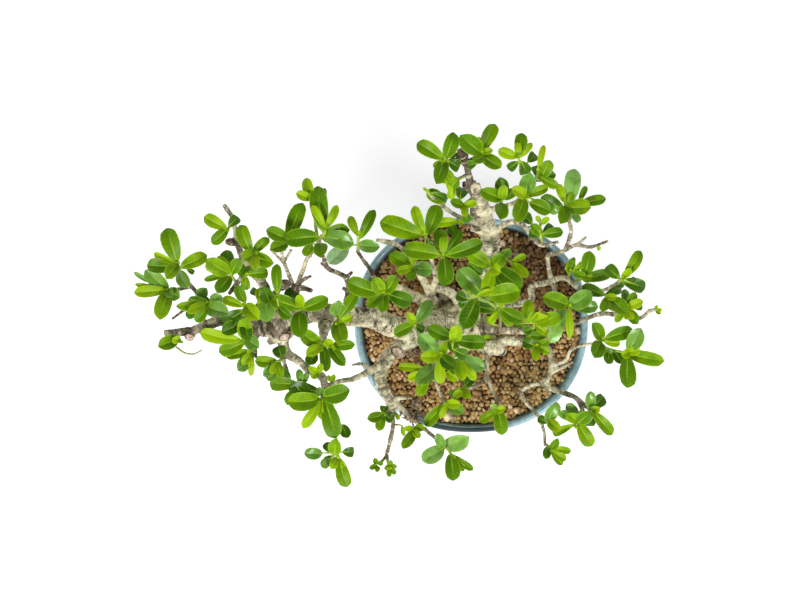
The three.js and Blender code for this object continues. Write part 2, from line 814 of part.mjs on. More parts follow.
const material = (color, roughness) => new THREE.MeshStandardMaterial({ color, roughness, metalness: 0 });
const GLAZE = material(0x8fb4c2, 0.25);
const SCREEN = material(0x2b2b2b, 0.6);
const CRUMB = material(0x9a6b45, 0.9);
const BARK = material(0xb3a894, 0.85);
const LEAF = material(0x4f8f12, 0.4);

// A closed geometry as a solid, and a solid as a geometry
function solid(geometry) {
  geometry.deleteAttribute("normal");
  geometry.deleteAttribute("uv");
  const merged = mergeVertices(geometry, 1e-4);
  const mesh = new wasm.Mesh({
    numProp: 3,
    vertProperties: new Float32Array(merged.attributes.position.array),
    triVerts: new Uint32Array(merged.index.array),
  });
  return new wasm.Manifold(mesh);
}

function geometryOf(body) {
  const mesh = body.getMesh();
  const geometry = new THREE.BufferGeometry();
  geometry.setAttribute("position", new THREE.BufferAttribute(new Float32Array(mesh.vertProperties), 3));
  geometry.setIndex(new THREE.BufferAttribute(new Uint32Array(mesh.triVerts), 1));
  return geometry;
}

const joined = (bodies) => bodies.reduce((whole, body) => whole.add(body));

// The largest body of a solid, without the scraps that a cut leaves
function largest(body) {
  return body.decompose().reduce((best, piece) => (piece.volume() > best.volume() ? piece : best));
}

// A seeded draw between 0 and 1 for a whole number
function draw(seed) {
  const value = Math.sin(seed * 127.1 + 311.7) * 43758.5453;
  return value - Math.floor(value);
}

// Pot and soil share one softly squared outline, turned on a lathe and pressed to shape
const ROUND_SEGMENTS = 36;

function pressToOutline(geometry) {
  const position = geometry.attributes.position;
  const power = 2 / POT_SQUARENESS;
  for (let i = 0; i < position.count; i += 1) {
    const x = position.getX(i);
    const y = position.getY(i);
    const radius = Math.hypot(x, y);
    const across = radius > 0 ? x / radius : 0;
    const along = radius > 0 ? y / radius : 0;
    position.setX(i, radius * Math.sign(across) * Math.abs(across) ** power);
    position.setY(i, radius * (POT_DEPTH / POT_WIDTH) * Math.sign(along) * Math.abs(along) ** power);
  }
  return geometry;
}

// A profile of [radius, height] turned round +Z
function turned(profile, segments = ROUND_SEGMENTS) {
  const geometry = new THREE.LatheGeometry(profile.map(([r, z]) => new THREE.Vector2(r, z)), segments);
  return geometry.rotateX(Math.PI / 2);
}

const POT_RADIUS = POT_WIDTH / 2;
const FLOOR = FOOT_HEIGHT + FLOOR_THICKNESS;
// Inner wall of the pot from the floor to the rim
const INNER_WALL = [[58, FLOOR], [67, FLOOR + 7], [79, 46], [83.5, POT_HEIGHT - 4], [85, POT_HEIGHT]];

function innerRadius(height) {
  const upper = INNER_WALL.findIndex(([, z]) => z >= height);
  const [r1, z1] = INNER_WALL[Math.max(upper, 1)];
  const [r0, z0] = INNER_WALL[Math.max(upper, 1) - 1];
  return r0 + ((r1 - r0) * (height - z0)) / (z1 - z0);
}

function makePot() {
  const profile = [
    [DRAIN_RADIUS, FOOT_HEIGHT],
    [60, FOOT_HEIGHT],
    [65, FOOT_HEIGHT + 3],
    [76, 27],
    [84.5, 52],
    [POT_RADIUS, POT_HEIGHT - 5],
    [POT_RADIUS, POT_HEIGHT - 1.5],
    [POT_RADIUS - 1.5, POT_HEIGHT],
    ...[...INNER_WALL].reverse(),
    [DRAIN_RADIUS, FLOOR],
    [DRAIN_RADIUS, FOOT_HEIGHT],
  ];
  const bowl = solid(pressToOutline(turned(profile)));
  const footRadius = 7;
  const footCircle = 50;
  const feet = [45, 135, 225, 315].map((degrees) => {
    const angle = THREE.MathUtils.degToRad(degrees);
    const foot = new THREE.CylinderGeometry(footRadius + 1.5, footRadius, FOOT_HEIGHT + 1, 8);
    foot.rotateX(Math.PI / 2);
    foot.translate(footCircle * Math.cos(angle), footCircle * Math.sin(angle), (FOOT_HEIGHT + 1) / 2);
    return solid(foot);
  });
  return joined([bowl, ...feet]);
}

// Plastic screen over the drain hole, under the soil
const SCREEN_RADIUS = 15;
const SCREEN_THICKNESS = 1.2;
const SCREEN_BOTTOM = FLOOR + GAP;

function makeScreen() {
  const plate = new THREE.CylinderGeometry(SCREEN_RADIUS, SCREEN_RADIUS, SCREEN_THICKNESS, 20);
  plate.rotateX(Math.PI / 2);
  plate.translate(0, 0, SCREEN_BOTTOM + SCREEN_THICKNESS / 2);
  const pitch = 5;
  const holes = [];
  for (const [column, row] of [[0, 0], [1, 0], [-1, 0], [0, 1], [0, -1]]) {
    const hole = new THREE.BoxGeometry(3.6, 3.6, 3 * SCREEN_THICKNESS);
    hole.translate(column * pitch, row * pitch, SCREEN_BOTTOM);
    holes.push(solid(hole));
  }
  return solid(plate).subtract(joined(holes));
}

// Soil of clay crumbs: fills the pot to below the rim, with a lumpy top that rises to the trunk
const SOIL_RINGS = 6;

function makeSoil(wood) {
  const edge = innerRadius(SOIL_LEVEL) - GAP;
  const profile = [[0, FLOOR + GAP]];
  for (const [radius, height] of INNER_WALL) {
    if (height < SOIL_LEVEL) profile.push([radius - GAP, Math.max(height, FLOOR + GAP)]);
  }
  for (let ring = 0; ring <= SOIL_RINGS; ring += 1) {
    const radius = edge * (1 - ring / SOIL_RINGS);
    profile.push([radius, SOIL_LEVEL + SOIL_MOUND * (1 - (radius / edge) ** 2)]);
  }
  const geometry = pressToOutline(turned(profile));
  const merged = mergeVertices(geometry.deleteAttribute("normal").deleteAttribute("uv"), 1e-4);
  const position = merged.attributes.position;
  for (let i = 0; i < position.count; i += 1) {
    const onTop = position.getZ(i) > SOIL_LEVEL - 0.1;
    const inside = Math.hypot(position.getX(i), position.getY(i)) < edge * 0.9;
    if (onTop && inside) position.setZ(i, position.getZ(i) + 2.4 * (draw(i) - 0.5));
  }
  const recessRadius = SCREEN_RADIUS + GAP;
  const recess = new THREE.CylinderGeometry(recessRadius, recessRadius, 2 * (SCREEN_THICKNESS + GAP), 20);
  recess.rotateX(Math.PI / 2);
  recess.translate(0, 0, SCREEN_BOTTOM);
  return largest(solid(merged).subtract(solid(recess)).subtract(wood));
}

// A limb or stem: a cylinder whose rings are moved onto a curve and swell and taper with it
function limb(points, sides, grow = 0, gnarl = 0) {
  const curve = new THREE.CatmullRomCurve3(points.map(place), false, "centripetal");
  const spans = points.length - 1;
  const rings = spans;
  const frames = curve.computeFrenetFrames(rings, false);
  const geometry = new THREE.CylinderGeometry(1, 1, 1, sides, rings);
  const position = geometry.attributes.position;
  for (let i = 0; i < position.count; i += 1) {
    const ring = Math.round((0.5 - position.getY(i)) * rings);
    const along = ring / rings;
    const reach = Math.hypot(position.getX(i), position.getZ(i));
    const angle = Math.atan2(position.getX(i), position.getZ(i));
    const step = Math.min(curve.getUtoTmapping(along) * spans, spans - 1e-6);
    const span = Math.floor(step);
    const diameter = THREE.MathUtils.lerp(points[span][3], points[span + 1][3], step - span);
    const swell = 1 + gnarl * Math.sin(2 * angle + 2.3 * ring);
    const radius = reach * ((diameter / 2) * swell + grow);
    const centre = curve.getPointAt(along);
    const end = ring === 0 ? -grow : ring === rings ? grow : 0;
    centre.addScaledVector(frames.tangents[ring], end);
    centre.addScaledVector(frames.normals[ring], radius * Math.cos(angle));
    centre.addScaledVector(frames.binormals[ring], -radius * Math.sin(angle));
    position.setXYZ(i, centre.x, centre.y, centre.z);
  }
  return solid(geometry);
}

function woodLimb(points, grow) {
  const thickest = points[0][3];
  const thinSides = thickest > THICK_LIMB ? LIMB_SIDES : TWIG_SIDES;
  const sides = thickest > THICK_TRUNK ? TRUNK_SIDES : thinSides;
  return limb(points, sides, grow, GNARL);
}

// Rotted hollow in the old cut beside the trunk's foot
function makeHollow() {
  const bowl = new THREE.IcosahedronGeometry(5.5, 1);
  const middle = place([439, 303, 91]);
  bowl.translate(middle.x, middle.y, middle.z);
  return solid(bowl);
}

// Stem of a shoot, with its diameter at each point
function stemSolid(shoot, grow = 0) {
  const last = shoot.stem.length - 1;
  const diameter = (i) => 2 * THREE.MathUtils.lerp(STEM_FOOT, STEM_TIP, i / last);
  const points = shoot.stem.map((point, i) => [...point, diameter(i)]);
  return limb(points, STEM_SIDES, grow);
}

// Places of the blade's midrib and margins for one leaf, bent by some angle from where it is drawn to lie
function leafRows(shoot, [across, down, width, kind], order, bend) {
  const curve = new THREE.CatmullRomCurve3(shoot.stem.map(place), false, "centripetal");
  const base = curve.getPointAt(1 - (LEAFY_SHARE * (order + 0.4)) / shoot.leaves.length);
  const scale = planScale(base.z);
  const flat = place([across, down, base.z]).sub(base);
  const reach = flat.length();
  const broad = width * scale;
  const lean = Math.acos(Math.min(1, reach / (LEAF_ASPECT * broad)));
  const drawn = THREE.MathUtils.clamp(lean * kind.rise, -MOST_PITCH, MOST_PITCH);
  const pitch = Math.max(drawn, kind.rise > 0 ? LEAST_PITCH : -MOST_PITCH) + THREE.MathUtils.degToRad(bend);
  const tip = place([across, down, base.z + reach * Math.tan(pitch)]);
  const chord = tip.clone().sub(base);
  const length = chord.length();
  const side = new THREE.Vector3(-chord.y, chord.x, 0).normalize();
  const up = chord.clone().normalize().cross(side);
  const ribs = [];
  for (const [along, share] of length > LARGE_LEAF ? LONG_OUTLINE : SHORT_OUTLINE) {
    const rib = base.clone().addScaledVector(chord, along);
    rib.addScaledVector(up, LEAF_ARCH * length * 4 * along * (1 - along));
    ribs.push({ rib, half: (share * broad) / 2 });
  }
  return { base, tip, ribs, side, up };
}

// A blade, thickest at its rib: its margins are raised, and each row across it has a left margin,
// the top and the underside of the rib, and a right margin
function blade({ base, tip, ribs, side, up }, thickness, grow = 0) {
  const corners = [];
  const point = (from, across, rise) => {
    corners.push(from.clone().addScaledVector(side, across).addScaledVector(up, rise).toArray());
    return corners.length - 1;
  };
  const rows = [{ top: point(base, 0, thickness / 2), under: point(base, 0, -thickness / 2) }];
  rows[0].left = rows[0].right = rows[0].under;
  for (const { rib, half } of ribs) {
    rows.push({
      left: point(rib, half + grow, LEAF_FOLD * half),
      top: point(rib, 0, thickness / 2),
      right: point(rib, -half - grow, LEAF_FOLD * half),
      under: point(rib, 0, -thickness / 2),
    });
  }
  const end = point(tip, 0, 0);
  rows.push({ left: end, top: end, right: end, under: end });
  const index = [];
  const face = (a, b, c) => {
    if (a !== b && b !== c && c !== a) index.push(a, b, c);
  };
  for (let r = 0; r + 1 < rows.length; r += 1) {
    const [near, far] = [rows[r], rows[r + 1]];
    face(near.left, near.top, far.left);
    face(near.top, far.top, far.left);
    face(near.top, near.right, far.right);
    face(near.top, far.right, far.top);
    face(near.under, near.left, far.left);
    face(near.under, far.left, far.under);
    face(near.right, near.under, far.right);
    face(near.under, far.under, far.right);
  }
  const geometry = new THREE.BufferGeometry();
  geometry.setAttribute("position", new THREE.Float32BufferAttribute(corners.flat(), 3));
  geometry.setIndex(index);
  return solid(geometry);
}

function boxesMeet(a, b) {
  return [0, 1, 2].every((i) => a.min[i] < b.max[i] && b.min[i] < a.max[i]);
}

function meets(body, obstacles) {
  const box = body.boundingBox();
  return obstacles.some((other) => boxesMeet(box, other.box) && body.intersect(other.body).volume() > 1e-7);
}

const obstacle = (body, name = "", shoot = null) => ({ body, box: body.boundingBox(), name, shoot });

const limbs = Object.values(LIMBS);
const hollow = makeHollow();
const wood = largest(joined(limbs.map((points) => woodLimb(points, 0))).subtract(hollow));
const woodRoom = joined(limbs.map((points) => woodLimb(points, GAP)));
const pot = makePot();
const soil = makeSoil(woodRoom);

// Every stem first, then leaf after leaf, each bent clear of the wood, pot, soil and what other shoots hold
const taken = [pot, soil, ...limbs.map((points) => woodLimb(points, 0))].map((body) => obstacle(body));
for (const [name, shoots] of Object.entries(SPRAYS)) {
  for (const shoot of shoots) taken.push(obstacle(stemSolid(shoot), name, shoot));
}

function bentLeaf(name, shoot, leaf, order) {
  const others = taken.filter((other) => other.shoot !== shoot);
  const elsewhere = others.filter((other) => other.name !== name);
  for (const rivals of [others, elsewhere]) {
    for (const bend of BENDS) {
      const rows = leafRows(shoot, leaf, order, bend);
      const room = blade(rows, BLADE_THICKNESS + 2 * GAP, GAP);
      if (!meets(room, rivals)) return blade(rows, BLADE_THICKNESS);
    }
  }
  return null;
}

const sprays = {};
for (const [name, shoots] of Object.entries(SPRAYS)) {
  const bodies = [];
  for (const shoot of shoots) {
    bodies.push(stemSolid(shoot));
    const downward = [...shoot.leaves].sort((a, b) => a[3].rank - b[3].rank);
    for (const [order, leaf] of downward.entries()) {
      const body = bentLeaf(name, shoot, leaf, order);
      if (body !== null) {
        bodies.push(body);
        taken.push(obstacle(body, name, shoot));
      }
    }
  }
  sprays[name] = largest(joined(bodies).subtract(woodRoom));
}

const nodes = [
  ["pot", pot, GLAZE],
  ["drain_screen", makeScreen(), SCREEN],
  ["soil", soil, CRUMB],
  ["trunk_and_branches", wood, BARK],
  ...Object.entries(sprays).map(([name, body]) => [name, body, LEAF]),
];

const group = new THREE.Group();
for (const [name, body, look] of nodes) {
  const mesh = new THREE.Mesh(geometryOf(body), look);
  mesh.name = name;
  group.add(mesh);
}
group.position.set(POT_OFFSET[0], POT_OFFSET[1], 0);
group.updateMatrixWorld(true);

export default group;
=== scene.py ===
# Looks of the border privet bonsai in its glazed pot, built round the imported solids.
# Shapes are worked out in millimetres, as in the part's source, and laid down in metres.
import bisect
import math

import bpy
import numpy as np
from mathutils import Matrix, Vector, kdtree, noise


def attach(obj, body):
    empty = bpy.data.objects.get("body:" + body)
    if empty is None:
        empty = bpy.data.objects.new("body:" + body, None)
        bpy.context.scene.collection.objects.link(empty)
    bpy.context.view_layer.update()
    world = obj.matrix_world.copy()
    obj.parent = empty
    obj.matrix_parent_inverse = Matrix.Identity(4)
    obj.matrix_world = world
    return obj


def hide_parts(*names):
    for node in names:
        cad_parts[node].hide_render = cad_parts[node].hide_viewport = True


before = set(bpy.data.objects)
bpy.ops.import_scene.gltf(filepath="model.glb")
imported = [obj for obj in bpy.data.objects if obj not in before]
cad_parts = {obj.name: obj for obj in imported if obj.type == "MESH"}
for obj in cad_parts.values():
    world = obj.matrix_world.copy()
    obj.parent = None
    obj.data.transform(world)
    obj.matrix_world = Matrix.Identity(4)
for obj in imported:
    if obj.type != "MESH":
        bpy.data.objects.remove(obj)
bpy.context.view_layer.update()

MM = 0.001
SEED = 41

# Driving sizes, in millimetres
POT_WIDTH = 180
POT_DEPTH = 171
POT_HEIGHT = 72
POT_SQUARENESS = 2.2
FOOT_HEIGHT = 5
FLOOR_TOP = 10
DRAIN_RADIUS = 9
SOIL_LEVEL = 65
SOIL_MOUND = 3.5
SOIL_EDGE = 82.6
POT_OFFSET = (45.5, -8.5)
# The back of the wall leans in, by this share of its depth, between these heights
BACK_LEAN = 0.062
LEAN_HEIGHTS = (40, 68)

# Reading of the tree from straight above, as in the part's source: a place is a point on the plan
# and a height over the table, and the plan is seen from VIEW_HEIGHT over the rim.
PLAN_SIZE = (800, 611)
PLAN_MIDDLE = (PLAN_SIZE[0] / 2, PLAN_SIZE[1] / 2)
PLAN_POT = (471.5, 321.5)
PLAN_POT_WIDTH = 234
VIEW_HEIGHT = 1150
PLAN_SCALE = POT_WIDTH / PLAN_POT_WIDTH
VIEW_X = POT_OFFSET[0] - (PLAN_POT[0] - PLAN_MIDDLE[0]) * PLAN_SCALE
VIEW_Y = POT_OFFSET[1] - (PLAN_MIDDLE[1] - PLAN_POT[1]) * PLAN_SCALE


def plan_scale(height):
    """Millimetres to one step of the plan, at a height."""
    return PLAN_SCALE * (VIEW_HEIGHT + POT_HEIGHT - height) / VIEW_HEIGHT


def place(across, down, height):
    """A place on the plan, in millimetres in the frame."""
    scale = plan_scale(height)
    return np.array((
        (across - PLAN_MIDDLE[0]) * scale + VIEW_X,
        (PLAN_MIDDLE[1] - down) * scale + VIEW_Y,
        height,
    ))


def on_plan(points):
    """Plan across and down of places in millimetres, the other way round from place()."""
    scale = plan_scale(points[:, 2])
    across = (points[:, 0] - VIEW_X) / scale + PLAN_MIDDLE[0]
    down = PLAN_MIDDLE[1] - (points[:, 1] - VIEW_Y) / scale
    return np.stack((across, down), axis=1)


# Limbs of the tree: plan across, plan down, height, diameter at each point, thickest end first
LIMBS = {
    "stump": ((464, 322, 40, 30), (464, 322, 58, 37), (463, 322, 68, 45), (461, 321, 79, 34),
        (458, 320, 90, 20)),
    "hollow_ridge": ((428, 300, 76, 7), (431, 289, 83, 6.5), (444, 290, 87, 6.5), (456, 297, 88, 8),
        (464, 306, 84, 12)),
    "hollow_back": ((430, 306, 72, 11), (440, 299, 74, 13), (452, 300, 74, 14)),
    "hollow_side": ((433, 301, 78, 7), (441, 308, 82, 7), (450, 308, 82, 8)),
    "root_front": ((456, 336, 70, 16), (444, 348, 68, 11), (430, 356, 64, 6)),
    "root_right": ((476, 338, 72, 20), (492, 346, 71, 15), (505, 352, 66, 8)),
    "left_trunk": ((458, 322, 74, 27), (441, 323, 88, 22), (425, 326, 101, 19), (400, 328, 114, 17),
        (375, 319, 124, 16), (345, 315, 134, 15), (320, 312, 141, 14.5), (295, 318, 146, 14),
        (270, 328, 149, 15), (250, 327, 151, 11)),
    "left_trunk_knee": ((292, 322, 147, 13), (276, 337, 146, 9), (268, 343, 144, 4)),
    "trunk_scar": ((325, 318, 140, 12), (325, 327, 144, 9), (323, 338, 146, 5.5), (323, 343, 147, 4.5)),
    "trunk_knot": ((364, 318, 128, 12), (362, 309, 133, 7)),
    "pink_spur": ((276, 341, 148, 5), (284, 338, 151, 7), (293, 333, 152, 4.4)),
    "left_cut_bulge": ((190, 330, 158, 5), (190, 336, 159, 8), (190, 340, 158, 5)),
    "up_left_limb": ((282, 320, 148, 10.5), (268, 302, 156, 8.8), (264, 285, 163, 7.4), (250, 268, 170, 6.4),
        (242, 256, 175, 5.2), (237, 240, 181, 4.2), (232, 217, 189, 3.6), (224, 205, 193, 3)),
    "up_left_knob": ((237, 243, 180, 4.6), (230, 242, 183, 5.6), (226, 242, 184, 3)),
    "up_left_spur": ((238, 247, 179, 3.4), (243, 240, 184, 1.6)),
    "up_left_fork": ((251, 268, 170, 5), (238, 282, 169, 4), (229, 294, 167, 2.6)),
    "left_limb": ((256, 326, 151, 10.5), (236, 321, 154, 9), (218, 321, 156, 8), (200, 329, 158, 8),
        (183, 332, 160, 6.5), (164, 333, 162, 4.5)),
    "far_left_twig": ((204, 327, 158, 5), (201, 310, 161, 4), (199, 297, 164, 3.8), (190, 285, 168, 3.4),
        (178, 276, 172, 2.6)),
    "far_left_side": ((191, 286, 168, 3.2), (180, 289, 170, 2.8), (170, 290, 172, 2.2)),
    "dead_twig": ((200, 303, 163, 3), (186, 309, 166, 2.2), (172, 319, 168, 1.5)),
    "lower_left_limb": ((284, 334, 148, 9), (285, 350, 149, 7.5), (300, 362, 150, 6.5), (309, 370, 151, 6),
        (322, 377, 152, 6.5), (325, 390, 154, 4.5)),
    "lower_left_spur": ((285, 352, 149, 4.5), (284, 361, 147, 3), (288, 371, 145, 1.5)),
    "lower_left_twig": ((258, 330, 149, 5), (255, 345, 149, 3.4), (256, 358, 148, 2)),
    "ring_twig": ((268, 300, 157, 6), (276, 292, 163, 4), (284, 284, 168, 3)),
    "upper_twig": ((300, 314, 147, 6.4), (297, 297, 152, 4.4), (298, 283, 158, 3.7), (303, 270, 164, 3.4),
        (307, 259, 168, 3.6), (314, 249, 172, 2.7)),
    "upper_left_twig": ((297, 300, 151, 4.6), (292, 283, 159, 3.2), (284, 262, 168, 2.5),
        (281, 249, 174, 2.1)),
    "upper_left_side": ((285, 264, 167, 2.3), (270, 249, 171, 1.7)),
    "upper_left_tip": ((284, 262, 168, 2.2), (291, 250, 174, 1.8)),
    "back_left_twig": ((354, 316, 133, 8.4), (347, 302, 141, 5.4), (349, 290, 147, 4.4), (345, 277, 154, 4.1),
        (328, 268, 163, 3.6), (323, 256, 169, 2.8)),
    "back_left_knots": ((350, 292, 147, 4), (343, 288, 150, 2.6)),
    "back_left_spurs": ((346, 278, 153, 3.6), (352, 272, 156, 2)),
    "back_left_tip_spur": ((328, 268, 163, 3.2), (321, 263, 166, 1.8)),
    "dark_twig": ((372, 316, 126, 7), (374, 292, 140, 4), (372, 273, 150, 3.2), (364, 261, 158, 2.8),
        (357, 251, 163, 2.2)),
    "front_left_limb": ((408, 338, 108, 10.5), (397, 349, 112, 9), (387, 361, 118, 7.4), (370, 371, 127, 5.6),
        (353, 379, 138, 4.2), (337, 382, 147, 4), (325, 389, 154, 4.4)),
    "front_left_spur": ((372, 371, 128, 4), (362, 364, 131, 2.6), (352, 365, 133, 1.5)),
    "front_limb": ((420, 334, 100, 14), (404, 344, 104, 13), (388, 357, 106, 11), (381, 371, 106, 9.5),
        (382, 386, 105, 9.5), (391, 401, 104, 9.5), (391, 416, 104, 6)),
    "knot_spurs": ((293, 291, 160, 5), (303, 288, 166, 4.5), (312, 291, 168, 3)),
    "knot_side_spur": ((296, 287, 160, 4), (303, 280, 165, 2.8), (311, 276, 168, 1.8)),
    "front_knot": ((398, 350, 106, 10), (402, 357, 108, 7)),
    "front_long_twig": ((392, 411, 104, 4.4), (393, 424, 104, 3), (391, 437, 104, 3.4), (386, 457, 105, 2.4)),
    "front_right_twig": ((395, 402, 104, 5.4), (409, 415, 102, 3.4), (420, 425, 101, 3.2),
        (433, 436, 101, 2.7), (446, 445, 103, 2.2)),
    "front_spur": ((396, 398, 105, 4), (412, 398, 106, 1.6)),
    "front_small_spur": ((391, 409, 104, 4), (385, 414, 106, 2.4)),
    "low_front_twig": ((446, 336, 84, 8), (437, 352, 91, 4.6), (434, 368, 96, 3), (435, 380, 98, 2.5),
        (440, 393, 99, 2.3), (448, 410, 100, 2.2), (454, 422, 101, 2.6)),
    "back_trunk": ((468, 314, 74, 23), (474, 294, 86, 18), (486, 266, 103, 15.5), (490, 242, 122, 14),
        (485, 216, 146, 12), (478, 198, 165, 11), (474, 189, 177, 8.5)),
    "back_stem": ((474, 192, 175, 8), (470, 181, 184, 5.6), (468, 171, 193, 5), (465, 160, 203, 4.4)),
    "back_moss": ((478, 226, 138, 8), (474, 214, 150, 6), (473, 203, 160, 4.5)),
    "back_cut_oval": ((475, 189, 177, 6), (475.5, 187.5, 184.5, 7)),
    "back_cut_side": ((470, 190, 176, 5), (465, 184, 182, 5.6)),
    "trunk_swirl": ((325, 327, 143, 7), (325, 327, 149, 8)),
    "ring_knob": ((277, 290, 163, 4.6), (285, 285, 168, 6), (285, 284, 171, 6.6)),
    "back_burr": ((466, 164, 200, 5), (462, 156, 205, 10), (461, 149, 208, 5)),
    "back_scar": ((478, 196, 172, 10), (475, 188, 181, 8)),
    "back_cut_left": ((486, 231, 134, 8), (471, 228, 137, 5.5)),
    "back_cut_right": ((490, 246, 121, 8), (504, 243, 124, 5)),
    "pale_twig": ((480, 222, 146, 6), (468, 221, 153, 4.2), (445, 208, 168, 3.3), (430, 195, 180, 2.5)),
    "back_tip_twig": ((466, 163, 201, 3.6), (474, 158, 205, 2.8), (481, 154, 208, 2.2)),
    "back_top_twig": ((465, 161, 201, 3.6), (455, 160, 206, 3), (448, 161, 209, 2.4)),
    "back_right_twig": ((484, 212, 150, 6), (500, 207, 160, 3.8), (516, 202, 168, 3.2), (528, 190, 175, 2.8),
        (524, 170, 184, 2.4)),
    "back_right_side": ((526, 193, 174, 3), (536, 180, 180, 2.2)),
    "right_back_limb": ((489, 248, 117, 8), (498, 229, 130, 5.4), (511, 222, 139, 4.3), (523, 225, 145, 3.8),
        (531, 236, 149, 3.8), (541, 245, 152, 3.3), (558, 242, 157, 2.4)),
    "long_right_limb": ((470, 322, 76, 15), (482, 327, 85, 9), (505, 330, 92, 6.4), (530, 331, 98, 5.4),
        (546, 327, 103, 4.8), (575, 323, 110, 4), (600, 314, 116, 3.4), (620, 315, 119, 3.2),
        (640, 318, 122, 2.9), (650, 311, 124, 2.9), (658, 309, 125, 2.3)),
    "right_front_limb": ((478, 340, 76, 15), (490, 345, 82, 11), (502, 341, 86, 8.5), (530, 342, 91, 7),
        (548, 349, 95, 5.8), (552, 363, 97, 5), (549, 376, 98, 4.8), (546, 385, 99, 5.4),
        (562, 392, 100, 4.4), (576, 398, 102, 4.2), (589, 409, 104, 2.8)),
    "right_front_node": ((577, 398, 102, 4), (581, 405, 103, 4.8), (583, 412, 104, 2.8)),
    "right_front_fork": ((546, 384, 99, 4), (531, 385, 98, 3.2), (521, 393, 97, 3.2), (526, 402, 97, 2.9),
        (539, 418, 98, 2.7), (544, 432, 99, 2.4), (545, 446, 101, 2)),
    "right_thin_twig": ((552, 366, 97, 3.8), (566, 360, 100, 2.7), (570, 351, 104, 2.5), (579, 346, 107, 2.3),
        (598, 343, 112, 2)),
    "right_stub": ((550, 373, 98, 4.4), (573, 362, 100, 1.8)),
    "soil_twig": ((488, 348, 78, 7), (487, 362, 81, 3.8), (488, 377, 83, 3.6), (493, 391, 86, 2.9),
        (500, 403, 90, 2.3)),
    "soil_twig_fork": ((488, 376, 83, 3), (476, 386, 87, 2.6), (465, 389, 93, 2)),
    "inner_right_limb": ((472, 314, 76, 10), (500, 306, 82, 6.5), (531, 300, 88, 5.4), (531, 287, 93, 5),
        (546, 283, 97, 4.8), (564, 278, 101, 4.2), (577, 287, 104, 3.4), (600, 291, 112, 3),
        (618, 283, 120, 2.4)),
    "inner_right_side": ((552, 282, 98, 3.6), (557, 297, 100, 3.2), (566, 305, 104, 2.4)),
    "inner_back_twig": ((551, 281, 98, 4.2), (548, 262, 107, 3.5), (548, 255, 111, 3.7), (561, 252, 116, 3.2),
        (576, 245, 121, 3), (590, 247, 125, 2.5), (608, 241, 130, 1.8)),
    "inner_back_fork": ((566, 249, 118, 3.4), (571, 231, 128, 3), (567, 215, 137, 2.4)),
    "inner_back_spur": ((577, 245, 121, 2.8), (586, 237, 126, 1.5)),
    "arched_twig": ((434, 304, 80, 9), (427, 287, 95, 6.5), (418, 272, 108, 5), (407, 254, 122, 4),
        (394, 243, 134, 3.2), (377, 240, 143, 2.6)),
    "crown_twig": ((430, 292, 90, 6), (438, 277, 114, 4.4), (443, 262, 142, 3.6), (443, 257, 164, 2.6)),
    "crown_side": ((436, 280, 110, 4), (430, 254, 140, 3.4), (426, 238, 160, 2.4)),
    "pale_root_limb": ((432, 304, 84, 10), (415, 297, 98, 8), (400, 288, 112, 5.5), (389, 288, 134, 3.6),
        (384, 292, 150, 2.6)),
}

